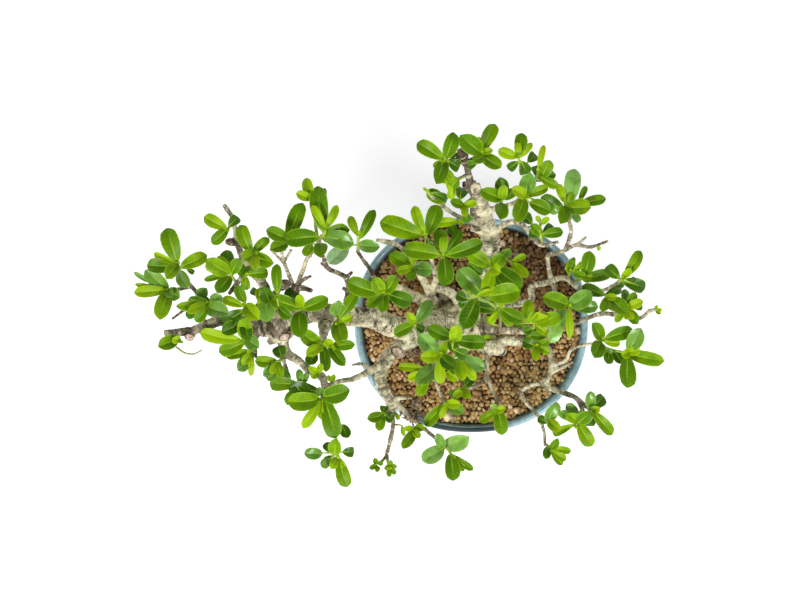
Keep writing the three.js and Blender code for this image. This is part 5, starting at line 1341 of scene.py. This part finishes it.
def carve(axis, points, normals):
    """Relief of old bark: lumps, flutes, ring wrinkles, healed cuts and knots."""
    found = axis.nearest(points)
    radius = axis.radius[found]
    local = limb_places(axis, found, points)
    brown, green = tinted_share(axis, found)
    cut = cut_share(axis, found, points, normals)
    angle = np.arctan2(local[:, 2], local[:, 1])
    lumps = noise_at(points, 11.0) * 0.12 * radius + noise_at(points, 5.0, 7.0) * 0.09 * radius
    winding = 3 * angle + local[:, 0] * 0.07 + 3 * noise_at(local, 30.0, 3.0)
    flutes = np.cos(winding) * 0.05 * np.maximum(radius - 3, 0)
    squeezed = local * np.array((1.0, 0.3, 0.3))
    rings = noise_at(squeezed, 2.4, 11.0)
    rugged = 0.45 + 0.75 * brown
    wrinkles = -np.maximum(rings - 0.16, 0) * np.interp(radius, (1.5, 4, 9), (0.6, 1.5, 2.4)) * rugged
    fine = noise_at(points, 1.9, 5.0) * np.interp(radius, (2, 8), (0.15, 0.4)) * rugged
    rise = (lumps + flutes + wrinkles + fine) * (1 - cut)
    # Painted shade: the deeper a wrinkle, the darker its bark
    sunk = np.clip(-wrinkles * 1.6 - 0.12, 0, 1) * 0.8
    plan = on_plan(points)
    for across, down, long_radius, short_radius, turn, kind in WOOD_MARKS:
        right, below = (plan - np.array((across, down))).T
        cosine, sine = math.cos(math.radians(turn)), math.sin(math.radians(turn))
        first = (right * cosine + below * sine) / long_radius
        second = (below * cosine - right * sine) / short_radius
        away = np.hypot(first, second)
        near = (away < 1.5) & (normals[:, 2] > 0.05)
        if not near.any():
            continue
        near &= points[:, 2] > points[near, 2].max() - MARK_DEPTH
        away = away[near]
        size = short_radius * MARK_SIZE
        ring = dip(away - 0.85, 0.2)
        if kind == HEALED:
            turns = np.cos(13 * away) * (away < 0.8)
            raised = size * (0.34 * ring - 0.1 * dip(away, 0.5)) + 0.35 * turns
            dark = 0.75 * dip(away - 1.14, 0.15) + 0.55 * np.clip(-turns, 0, 1)
        elif kind == KNOT:
            raised = size * (0.4 * dip(away, 0.8) - 0.3 * dip(away, 0.3))
            dark = 0.9 * dip(away, 0.45)
        else:
            raised = size * 0.22 * ring
            dark = 0.95 * dip(away - 0.98, 0.16)
            cut[near] = np.maximum(cut[near], np.clip((0.8 - away) * 6, 0, 1))
        rise[near] += raised
        sunk[near] = np.maximum(sunk[near], dark)
    carved = points + normals * rise[:, None]
    return carved, {
        "limb_place": local, "bark_brown": brown, "bark_green": green, "bark_sunk": sunk, "bark_cut": cut,
    }


def thick_and_thin(axis):
    """Rows of places and radii: thick lengths of limbs, and thin ones with a node ring now and then."""
    thick, thin = [], []
    for first, count in zip(np.cumsum([0, *axis.lengths]), axis.lengths):
        places = axis.place[first:first + count]
        radii = axis.radius[first:first + count]
        thin_from = next((i for i in range(count) if 2 * radii[i] < THIN_TWIG), count)
        if thin_from >= 3:
            thick.append((places[:thin_from + 1], radii[:thin_from + 1]))
        if thin_from < count - 1:
            start = max(thin_from - 3, 0)
            ways = np.arange(start, count) * AXIS_PITCH
            rings = 1 + 0.28 * np.exp(-(((ways + 3) % 9.5 - 4.7) / 0.7) ** 2)
            thinner = radii[start:] * rings
            if start:
                thinner[:3] *= (0.7, 0.85, 0.95)
            thin.append((places[start:], thinner))
    return thick, thin


axis = Axis(LIMBS, AXIS_PITCH)


def make_trunk(thick):
    """The trunk and limbs as one grown body, with its bark carved."""
    trunk = rods("trunk_and_limbs", thick, 3)
    apply_modifier(trunk, "REMESH", mode="VOXEL", voxel_size=WOOD_VOXEL * MM, use_smooth_shade=True)
    apply_modifier(trunk, "SMOOTH", factor=0.5, iterations=4)
    points, tones = carve(axis, places_of(trunk.data), normals_of(trunk.data))
    set_places(trunk.data, points)
    set_tones(trunk.data, **tones)
    smooth(trunk.data)
    coat(trunk, BARK)
    dress(trunk, "bark", "trunk_and_branches")


def make_thin_twigs(thin):
    twigs = rods("thin_twigs", thin, 2)
    select_only(twigs)
    points = places_of(twigs.data)
    found = axis.nearest(points)
    brown, green = tinted_share(axis, found)
    local = limb_places(axis, found, points)
    wrinkles = np.minimum(noise_at(local * (1, 0.4, 0.4), 1.6, 2.0), 0) * 0.35
    set_places(twigs.data, points + normals_of(twigs.data) * wrinkles[:, None])
    # Painted shade in the wrinkles of a thin twig
    set_tones(
        twigs.data, limb_place=local, bark_brown=brown, bark_green=green,
        bark_sunk=np.clip(-wrinkles * 2, 0, 1), bark_cut=np.zeros(len(points)),
    )
    bpy.ops.object.shade_smooth_by_angle(angle=SHARP_FROM)
    coat(twigs, BARK)
    dress(twigs, "bark", "trunk_and_branches")


def make_wood():
    thick, thin = thick_and_thin(axis)
    make_trunk(thick)
    make_thin_twigs(thin)


# Soil

def soil_top(x, y):
    """Height of the soil's top at a place from the pot's middle."""
    return SOIL_LEVEL + SOIL_MOUND * (1 - np.minimum(outline_radius(x, y) / SOIL_EDGE, 1) ** 2)


def crumb_shape():
    """One crumb of clay: a cube, cut finer and rounded."""
    crumb = added("crumb", bpy.ops.mesh.primitive_cube_add, size=2)
    bpy.ops.object.mode_set(mode="EDIT")
    bpy.ops.mesh.select_all(action="SELECT")
    bpy.ops.mesh.subdivide(number_cuts=1)
    bpy.ops.transform.tosphere(value=0.86)
    bpy.ops.object.mode_set(mode="OBJECT")
    points = np.array([vertex.co for vertex in crumb.data.vertices])
    points /= np.linalg.norm(points, axis=1).mean()
    faces = np.array([list(face.vertices) for face in crumb.data.polygons])
    bpy.data.objects.remove(crumb)
    return points, faces


def turned_at_random(draws, count):
    """Random turns as matrices."""
    four = draws.normal(size=(count, 4))
    w, x, y, z = (four / np.linalg.norm(four, axis=1)[:, None]).T
    return np.stack((
        np.stack((1 - 2 * (y * y + z * z), 2 * (x * y - z * w), 2 * (x * z + y * w)), 1),
        np.stack((2 * (x * y + z * w), 1 - 2 * (x * x + z * z), 2 * (y * z - x * w)), 1),
        np.stack((2 * (x * z - y * w), 2 * (y * z + x * w), 1 - 2 * (x * x + y * y)), 1),
    ), 1)


# Patches of soil painted dark and reddish brown as painted shadow where the tree shades the soil, and patches
# tinted green: plan place and radius
DAMP_PATCHES = ((545, 270, 38), (440, 300, 18), (418, 262, 14))
OLIVE_PATCHES = ((533, 385, 24), (408, 412, 20), (470, 420, 16))


def patch_share(places, patches):
    """1 inside a patch, fading to 0 round it."""
    plan = on_plan(places)
    share = np.zeros(len(places))
    for across, down, radius in patches:
        away = np.hypot(plan[:, 0] - across, plan[:, 1] - down) / radius
        share = np.maximum(share, np.clip((1.25 - away) / 0.5, 0, 1))
    return share


def crumb_bed(name, centres, sizes, tones, seed):
    """Crumbs of uneven shape at some centres, each a copy of one, in one piece."""
    draws = np.random.default_rng(seed)
    points, faces = crumb_shape()
    count = len(centres)
    shapes = points[None] * (1 + 0.22 * draws.normal(size=(count, 1, 3)).clip(-1.4, 1.4))
    shapes = shapes * (1 + 0.12 * draws.normal(size=(count, len(points), 1)).clip(-2, 2))
    shapes = np.einsum("nij,nkj->nki", turned_at_random(draws, count), shapes)
    # Painted shade: each crumb is darker towards its underside
    sides = np.clip((0.45 - shapes[:, :, 2]) / 0.9, 0, 1)
    shapes = centres[:, None] + shapes * sizes[:, None, None]
    all_faces = (faces[None] + (np.arange(count) * len(points))[:, None, None]).reshape(-1, 4)
    bed = mesh_piece(name, shapes.reshape(-1, 3), all_faces.tolist())
    # Shares of painted shadow and of green tint for each crumb
    damp, olive = patch_share(centres, DAMP_PATCHES), patch_share(centres, OLIVE_PATCHES)
    set_tones(
        bed.data, crumb_tone=np.repeat(tones, len(points)), crumb_side=sides.ravel(),
        crumb_damp=np.repeat(damp, len(points)), crumb_olive=np.repeat(olive, len(points)),
    )
    smooth(bed.data)
    coat(bed, CRUMB_CLAY)
    dress(bed, "clay_crumbs")


# Crumbs, in millimetres: how far apart, how large, and how far out they lie, in the pot's round measure
CRUMB_PITCH = 3.7
CRUMB_SIZES = (1.4, 2.4)
CRUMB_REACH = 83.9
BED_HALF = (92, 90)
ROW_PITCH = 0.866 * CRUMB_PITCH


def make_crumbs(name, sink, shift, seed):
    """One layer of crumbs, laid in staggered rows and pushed about."""
    draws = np.random.default_rng(seed)
    centres, sizes = [], []
    rows = int(2 * BED_HALF[0] / ROW_PITCH) + 1
    for row in range(rows):
        for column in range(rows):
            x = -BED_HALF[0] + CRUMB_PITCH * (column + 0.5 * (row % 2) + shift) + draws.normal() * 0.5
            y = -BED_HALF[1] + ROW_PITCH * (row + 0.66 * shift) + draws.normal() * 0.5
            size = draws.uniform(*CRUMB_SIZES)
            if outline_radius(x, y) < CRUMB_REACH - 0.5 * size:
                centres.append((x, y, float(soil_top(x, y)) + sink + draws.normal() * 0.5))
                sizes.append(size)
    centres, sizes = np.array(centres) + np.array((*POT_OFFSET, 0)), np.array(sizes)
    found = axis.nearest(centres)
    clear = np.linalg.norm(centres - axis.place[found], axis=1) > axis.radius[found] - 0.6
    centres, sizes = centres[clear], sizes[clear]
    crumb_bed(name, centres, sizes, draws.beta(1.5, 1.6, len(centres)), seed + 1)


# Paler stones among the crumbs: plan place and size in millimetres
PALE_STONES = ((447, 417, 3.6), (516, 411, 2.9), (578, 331, 3.4), (510, 406, 2.0), (362, 325, 2.4))


def make_pale_stones():
    centres = []
    for across, down, _ in PALE_STONES:
        spot = place(across, down, SOIL_LEVEL + 3)
        x, y = spot[0] - POT_OFFSET[0], spot[1] - POT_OFFSET[1]
        centres.append((spot[0], spot[1], float(soil_top(x, y)) + 1.6))
    sizes = np.array([size for *_, size in PALE_STONES])
    crumb_bed("pale_stones", np.array(centres), sizes, np.full(len(sizes), 1.0), SEED + 5)


# Dry twigs that lie on the soil, and dry leaf scraps: plan places from end to end, and width
DRY_TWIGS = (
    ((401, 405), (413, 412), (425, 417), 1.5), ((412, 402), (418, 407), (422, 415), 1.2),
    ((404, 345), (411, 351), (421, 353), 1.3), ((517, 395), (524, 399), (531, 398), 1.0),
    ((520, 256), (530, 262), (541, 261), 1.2), ((452, 427), (460, 424), (468, 427), 1.1),
)
DRY_SCRAPS = (
    ((406, 357), (418, 350), 8), ((409, 401), (421, 407), 8), ((508, 258), (519, 251), 6),
    ((404, 411), (412, 420), 7), ((560, 262), (569, 270), 6), ((492, 414), (501, 419), 6),
    ((549, 300), (556, 308), 6),
)


def on_soil(across, down, lift):
    """The place on top of the soil that is seen at a place on the plan."""
    spot = place(across, down, SOIL_LEVEL + 4)
    top = float(soil_top(spot[0] - POT_OFFSET[0], spot[1] - POT_OFFSET[1]))
    return place(across, down, top + lift)


# The dry tangle on the front twig: where it starts on the plan and its height, its way along, how many
TANGLE_FOOT = np.array((396, 402))
TANGLE_HEIGHT = 103
TANGLE_WAY = np.array((24, 22))
TANGLE_STICKS = 34


def make_tangle(draws):
    """Sticks that hang from the front twig, as places and a width."""
    tangle = []
    for _ in range(TANGLE_STICKS):
        start = TANGLE_FOOT + TANGLE_WAY * draws.uniform(-0.1, 0.75)
        way = math.radians(42 + draws.normal() * 38)
        run = draws.uniform(6, 15) * np.array((math.cos(way), math.sin(way)))
        low = TANGLE_HEIGHT - 2 - draws.uniform(0, 9)
        middle = start + run / 2 + draws.normal(size=2) * 1.4
        half_down = (TANGLE_HEIGHT + low) / 2
        hung = [place(*start, TANGLE_HEIGHT), place(*middle, half_down), place(*(start + run), low)]
        tangle.append((*hung, draws.uniform(0.8, 2.0)))
    return tangle


def make_dry_twigs(draws):
    tangle, rows = make_tangle(draws), []
    lying = [(*(on_soil(across, down, 2.2) for across, down in spots), width) for *spots, width in DRY_TWIGS]
    for *spots, width in lying + tangle:
        bough = Bough(spots)
        places = np.array([bough.at(share) for share in np.linspace(0, 1, 9)])
        places[:, 2] += draws.normal(size=9) * 0.25
        rows.append((places, width / 2 * np.linspace(1.1, 0.8, 9) * draws.uniform(0.85, 1.15, 9)))
    twigs = rods("dry_twigs", rows, 1)
    smooth(twigs.data)
    coat(twigs, DRY_LEAF)
    dress(twigs, "bark")


def make_dry_scraps(draws):
    scraps = []
    for foot, tip, width in DRY_SCRAPS:
        scrap = leaf_from(on_soil(*foot, 2.2), on_soil(*tip, 3.4), width * PLAN_SCALE, GREEN, draws, 2.6)
        coat(scrap, DRY_LEAF)
        scraps.append(scrap)
    dress(joined("dry_scraps", scraps), "leaf")


# The curled tendril at the far left: plan across, plan down, height
TENDRIL = ((176, 347, 160), (185, 353, 162), (194, 354, 163), (202, 350, 164))


def make_tendril():
    bough = Bough([place(*spot) for spot in TENDRIL])
    places = np.array([bough.at(share) for share in np.linspace(0, 1, 14)])
    tendril = rods("tendril", [(places, np.linspace(0.8, 0.5, 14))], 1)
    smooth(tendril.data)
    set_tones(tendril.data, "FACE", stem_way=np.full(len(tendril.data.polygons), 0.3))
    coat(tendril, YOUNG_BARK)
    dress(tendril, "leaf")


# Leaves

# Shares of a blade's length and of its half breadth at which its points lie
BLADE_ROWS = (0.0, 0.06, 0.15, 0.28, 0.43, 0.6, 0.76, 0.89, 0.97, 1.0)
BLADE_COLUMNS = (-1.0, -0.56, 0.0, 0.56, 1.0)


def blade_share(along):
    """Half width of a blade at a share of its length: a short stalk, widest past the middle, a round tip."""
    if along < 0.07:
        return 0.09
    t = (along - 0.03) / 0.97
    shape = t ** 0.7 * max(1 - t, 0.0) ** 0.36 / 0.5061
    return max(shape, 0.3 if along > 0.9 else 0.09)


def blade_shape():
    """One blade as a grid with an underside: its mesh, and for each point its place across and along it."""
    blade = added(
        "blade", bpy.ops.mesh.primitive_grid_add, x_subdivisions=len(BLADE_COLUMNS) - 1,
        y_subdivisions=len(BLADE_ROWS) - 1, size=2,
    )
    bpy.ops.object.mode_set(mode="EDIT")
    bpy.ops.mesh.select_all(action="SELECT")
    bpy.ops.mesh.duplicate()
    bpy.ops.mesh.flip_normals()
    bpy.ops.transform.translate(value=(0, 0, -1))
    bpy.ops.object.mode_set(mode="OBJECT")
    mesh = blade.data
    for vertex in mesh.vertices:
        at_rim = max(abs(vertex.co.x), abs(vertex.co.y)) > 0.999
        if at_rim and vertex.co.z < -0.5:
            vertex.co.z = 0
    bpy.ops.object.mode_set(mode="EDIT")
    bpy.ops.mesh.select_all(action="SELECT")
    bpy.ops.mesh.remove_doubles(threshold=1e-4)
    bpy.ops.object.mode_set(mode="OBJECT")
    across, along, under = [], [], []
    for vertex in mesh.vertices:
        column = round((vertex.co.x + 1) / 2 * (len(BLADE_COLUMNS) - 1))
        row = round((vertex.co.y + 1) / 2 * (len(BLADE_ROWS) - 1))
        across.append(BLADE_COLUMNS[column])
        along.append(BLADE_ROWS[row])
        under.append(vertex.co.z < -0.5)
    chart = (mesh.uv_layers.active or mesh.uv_layers.new()).data
    mesh.uv_layers.active.name = "blade"
    for loop in mesh.loops:
        chart[loop.index].uv = ((across[loop.vertex_index] + 1) / 2, along[loop.vertex_index])
    beneath = [sum(mesh.vertices[i].co.z for i in face.vertices) < -0.5 for face in mesh.polygons]
    none = np.zeros(len(mesh.polygons))
    set_tones(
        mesh, "FACE", leaf_under=np.array(beneath, float), leaf_age=none, leaf_draw=none, leaf_gloss=none,
        leaf_pale=none, stem_way=none,
    )
    rim = [abs(a) > 0.99 for a in across]
    for edge in mesh.edges:
        i, j = edge.vertices
        middle = across[i] == 0 and across[j] == 0 and not under[i] and not under[j]
        edge.use_edge_sharp = (rim[i] and rim[j]) or middle
    smooth(mesh)
    for collection in blade.users_collection:
        collection.objects.unlink(blade)
    return blade, np.array(across), np.array(along), np.array(under)


BLADE, BLADE_ACROSS, BLADE_ALONG, BLADE_UNDER = blade_shape()
BLADE_SHARES = np.array([blade_share(along) for along in BLADE_ALONG])


def leaf_from(base, tip, broad, kind, draws, curl=1.0):
    """A copy of the blade, laid from its base to its tip."""
    chord = tip - base
    length = np.linalg.norm(chord)
    side = unit(np.array((-chord[1], chord[0], 0.0)))
    up = np.cross(chord / length, side)
    arch = LEAF_ARCH * draws.uniform(0.6, 1.35) * curl
    sway = draws.uniform(-0.035, 0.035)
    fold = LEAF_FOLD * draws.uniform(0.45, 1.5)
    twist = math.radians(draws.uniform(-15, 15))
    ripple, phase = draws.uniform(0.0, 0.05), draws.uniform(0, math.tau)
    half = np.maximum(broad / 2 * BLADE_SHARES * LEAF_BREADTH, LEAST_HALF_BREADTH)
    across = BLADE_ACROSS * half
    along = BLADE_ALONG - 0.022 * BLADE_ACROSS ** 2 * (BLADE_ALONG > 0.9)
    bow = 4 * along * (1 - along)
    turn = twist * (along - 0.35) * 2
    lift = fold * half * np.abs(BLADE_ACROSS) ** 1.35
    lift += ripple * half * np.abs(BLADE_ACROSS) * np.sin(along * math.tau * 1.6 + phase)
    lift += 0.1 * half * np.sin(np.pi * np.abs(BLADE_ACROSS))
    thick = LEAF_THICKNESS / 2 * (1 - 0.75 * BLADE_ACROSS ** 2) * np.where(BLADE_UNDER, -1, 1)
    thick = np.where((BLADE_ACROSS == 0) & ~BLADE_UNDER, thick - 0.14, thick)
    rise = lift + np.where(np.abs(BLADE_ACROSS) > 0.99, 0, thick)
    points = base + chord * along[:, None] + up * (arch * length * bow)[:, None]
    points = points + side * (sway * length * bow)[:, None]
    points = points + side * (across * np.cos(turn) - rise * np.sin(turn))[:, None]
    points = points + up * (rise * np.cos(turn) + across * np.sin(turn))[:, None]
    leaf = BLADE.copy()
    leaf.data = BLADE.data.copy()
    bpy.context.scene.collection.objects.link(leaf)
    set_places(leaf.data, points)
    count = len(leaf.data.polygons)
    age = float(np.clip(kind["age"] + draws.normal() * 0.06, 0, 1))
    set_tones(
        leaf.data, "FACE", leaf_age=np.full(count, age), leaf_draw=np.full(count, draws.uniform()),
        leaf_gloss=np.full(count, kind["gloss"]), leaf_pale=np.full(count, kind.get("pale", 0.0)),
    )
    if kind.get("under"):
        set_tones(leaf.data, "FACE", leaf_under=np.full(count, kind["under"]))
    coat(leaf, LEAF)
    return leaf


def leaf_lie(base, leaf, bend=0, slope=1.0, lift=0.0):
    """Base, tip and breadth of a leaf from its base, as in the part's source, bent by some degrees."""
    across, down, width, kind = leaf[:4]
    broad = width * plan_scale(base[2])
    reach = np.linalg.norm(place(across, down, base[2]) - base)
    lean = math.acos(min(1, reach / (LEAF_ASPECT * broad)))
    pitch = max(-MOST_PITCH, min(MOST_PITCH, lean * kind["rise"]))
    if kind["rise"] > 0:
        pitch = max(pitch, LEAST_PITCH)
    rise = reach * math.tan(pitch + math.radians(bend)) * slope + lift
    return base, place(across, down, base[2] + rise), broad


SHOOTS = [
    (name, Bough([place(*point) for point in stem])) for name, shoots in SPRAYS.items() for stem, _ in shoots
]
# A stalk is drawn where a leaf starts farther than this from the wood, in millimetres
STALK_FROM = 1.2
STALK_RADII = np.array((0.8, 0.65, 0.5))


def further_leaves():
    """For each spray its share of MORE_LEAVES: base, tip, breadth, kind; stalks start at the nearest wood."""
    stems = np.array([bough.at(share) for _, bough in SHOOTS for share in np.linspace(0.1, 1, 10)])
    owners = np.repeat(np.arange(len(SHOOTS)), 10)
    slender = axis.radius < 3
    wood = np.concatenate((stems, axis.place[slender]))
    plan, stems_plan = on_plan(wood), on_plan(stems)
    found = {name: ([], []) for name in SPRAYS}
    for foot_across, foot_down, *leaf, lift in MORE_LEAVES:
        away = np.hypot(plan[:, 0] - foot_across, plan[:, 1] - foot_down)
        away[len(stems):] += 2.5
        nearest = int(away.argmin())
        owner = int(np.hypot(stems_plan[:, 0] - foot_across, stems_plan[:, 1] - foot_down).argmin())
        start = wood[nearest]
        base, tip, broad = leaf_lie(
            place(foot_across, foot_down, start[2] + 0.6 * lift), leaf, slope=0.8, lift=lift,
        )
        leaves, stalks = found[SHOOTS[owners[owner]][0]]
        leaves.append((base, tip, broad, leaf[3]))
        if np.linalg.norm(base - start) > STALK_FROM:
            stalks.append((np.array([start, (start + base) / 2, base + (tip - base) * 0.04]), STALK_RADII))
    return found


FURTHER = further_leaves()


def leaves_of(shoot, tree, draws):
    """The leaves of a shoot, each bent until its tip meets the solid's, and where they start on the stem."""
    stem, leaves = shoot
    bough = Bough([place(*point) for point in stem])
    solid = sorted((leaf for leaf in leaves if leaf[2] > LEAST_SOLID_WIDTH), key=lambda leaf: leaf[3]["rank"])
    slender = [leaf for leaf in leaves if leaf[2] <= LEAST_SOLID_WIDTH]
    pieces, starts = [], []
    for row, count, bends in ((solid, len(solid), BENDS), (slender, 3 * len(slender) + 1, (0,))):
        for order, leaf in enumerate(row):
            look = leaf[-1]
            if look is GONE:
                continue
            start = 1 - LEAFY_SHARE * (order + 0.4) / count
            lies = [leaf_lie(bough.at(start), leaf, bend) for bend in bends]
            misfits = [tree.find(tip)[2] for _, tip, _ in lies]
            best = next((i for i, off in enumerate(misfits) if off < 0.2), int(np.argmin(misfits)))
            pieces.append(leaf_from(*lies[best], look, draws))
            if row is solid:
                starts.append(start)
    return bough, pieces, starts


def tip_leaflets(bough, draws):
    """Two tiny leaves that open at the tip of a shoot."""
    top = bough.at(1.0)
    heading = unit(top - bough.at(0.9))
    spin = draws.uniform(0, math.tau)
    for pair in range(2):
        angle = spin + math.pi * pair
        out = np.array((math.cos(angle), math.sin(angle), 0.0))
        leaflet = top + heading * draws.uniform(2.6, 3.6) + out * draws.uniform(1.4, 2.4)
        yield leaf_from(top, leaflet, 2.0, YOUNG, draws, 2.0)


def stem_row(bough, starts):
    """Places and radii along a young stem, with a node where a leaf starts."""
    shares = np.linspace(0, 1, max(int(bough.length / 1.5) + 2, 5))
    radii = STEM_FOOT + (STEM_TIP - STEM_FOOT) * shares
    for start in starts:
        radii *= 1 + 0.22 * np.exp(-((shares - start) * bough.length / 0.9) ** 2)
    return np.array([bough.at(share) for share in shares]), radii


def make_stems(rows):
    """The stems and stalks of a spray, with their way from foot to tip kept on each face."""
    stems = rods("stems", rows, 2)
    points = places_of(stems.data)
    way, least = np.zeros(len(points)), np.full(len(points), np.inf)
    for places, _ in rows:
        apart = np.linalg.norm(points[:, None] - places[None], axis=2)
        closer = apart.min(1) < least
        way[closer] = (apart.argmin(1) / (len(places) - 1))[closer]
        least = np.minimum(least, apart.min(1))
    set_tones(stems.data, "FACE", stem_way=way[[face.vertices[0] for face in stems.data.polygons]])
    smooth(stems.data)
    coat(stems, YOUNG_BARK)
    return stems


def make_spray(name, shoots, seed):
    """One spray of leaves on its stems, in place of its solid."""
    draws = np.random.default_rng(seed)
    solid_places = places_of(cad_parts[f"spray_{name}"].data)
    tree = kdtree.KDTree(len(solid_places))
    for i, point in enumerate(solid_places):
        tree.insert(point, i)
    tree.balance()
    pieces, rows = [], []
    for shoot in shoots:
        bough, leaves, starts = leaves_of(shoot, tree, draws)
        pieces += [*leaves, *tip_leaflets(bough, draws)]
        rows.append(stem_row(bough, starts))
    more, stalks = FURTHER[name]
    pieces += [leaf_from(*leaf, draws) for leaf in more]
    spray = joined(f"leaves_{name}", [*pieces, make_stems(rows + stalks)])
    dress(spray, "leaf", f"spray_{name}")


# Stage, light and camera

FLOOR_SIZE = 9
# Lights: metres away and across, and degrees above the table
LIGHT_AWAY = 2.6
LIGHT_SIZE = 0.8
LIGHT_HEIGHT = 48


def make_stage():
    floor = added("floor", bpy.ops.mesh.primitive_plane_add, size=FLOOR_SIZE)
    floor.data.materials.append(make_paper_floor())


def softbox(name, way_round, power):
    """A large soft light that looks at the tree from some degrees round."""
    turn, climb = math.radians(way_round), math.radians(LIGHT_HEIGHT)
    towards = Vector((math.cos(turn) * math.cos(climb), math.sin(turn) * math.cos(climb), math.sin(climb)))
    bpy.ops.object.light_add(type="AREA", location=towards * LIGHT_AWAY)
    light = bpy.context.active_object
    light.name = name
    light.rotation_euler = towards.to_track_quat("Z", "Y").to_euler()
    light.data.shape = "SQUARE"
    light.data.size = LIGHT_SIZE
    light.data.energy = power


def make_sky():
    """White round the horizon, dimmer overhead, where the camera stands."""
    world = bpy.data.worlds.new("soft_room")
    bpy.context.scene.world = world
    world.use_nodes = True
    sky = Nodes(world.node_tree)
    direction = sky.node("ShaderNodeTexCoord").outputs["Generated"]
    height = sky.node("ShaderNodeSeparateXYZ", {0: direction}).outputs[2]
    back = sky.tree.nodes["Background"].inputs
    sky.feed(back["Color"], WHITE)
    sky.feed(back["Strength"], sky.stretched(height, 0.4, 0.9, 0.6, 0.05))


def make_camera():
    """Straight over the pot's surroundings, so that the rim is drawn at PLAN_SCALE."""
    bpy.ops.object.camera_add(
        location=(VIEW_X * MM, VIEW_Y * MM, (VIEW_HEIGHT + POT_HEIGHT) * MM), rotation=(0, 0, 0),
    )
    camera = bpy.context.active_object
    camera.name = "camera_from_above"
    sensor = 36.0
    camera.data.sensor_width = sensor
    camera.data.lens = sensor * VIEW_HEIGHT / (PLAN_SIZE[0] * PLAN_SCALE)
    camera.data.clip_end = 100
    bpy.context.scene.camera = camera


make_stage()
make_sky()
make_camera()
softbox("softbox_left", 228, 47)
softbox("softbox_right", 312, 36)
bpy.context.scene.view_settings.view_transform = "Standard"

make_pot()
coat(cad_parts["drain_screen"], MESH_PLASTIC)
coat(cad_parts["soil"], DEEP_CLAY)
make_wood()
make_crumbs("clay_crumbs", 0.1, 0.0, SEED)
make_crumbs("clay_crumbs_below", -1.6, 0.5, SEED + 3)
make_pale_stones()
litter_draws = np.random.default_rng(SEED + 8)
make_dry_twigs(litter_draws)
make_dry_scraps(litter_draws)
make_tendril()
for number, (name, shoots) in enumerate(SPRAYS.items()):
    make_spray(name, shoots, SEED + 10 + number)
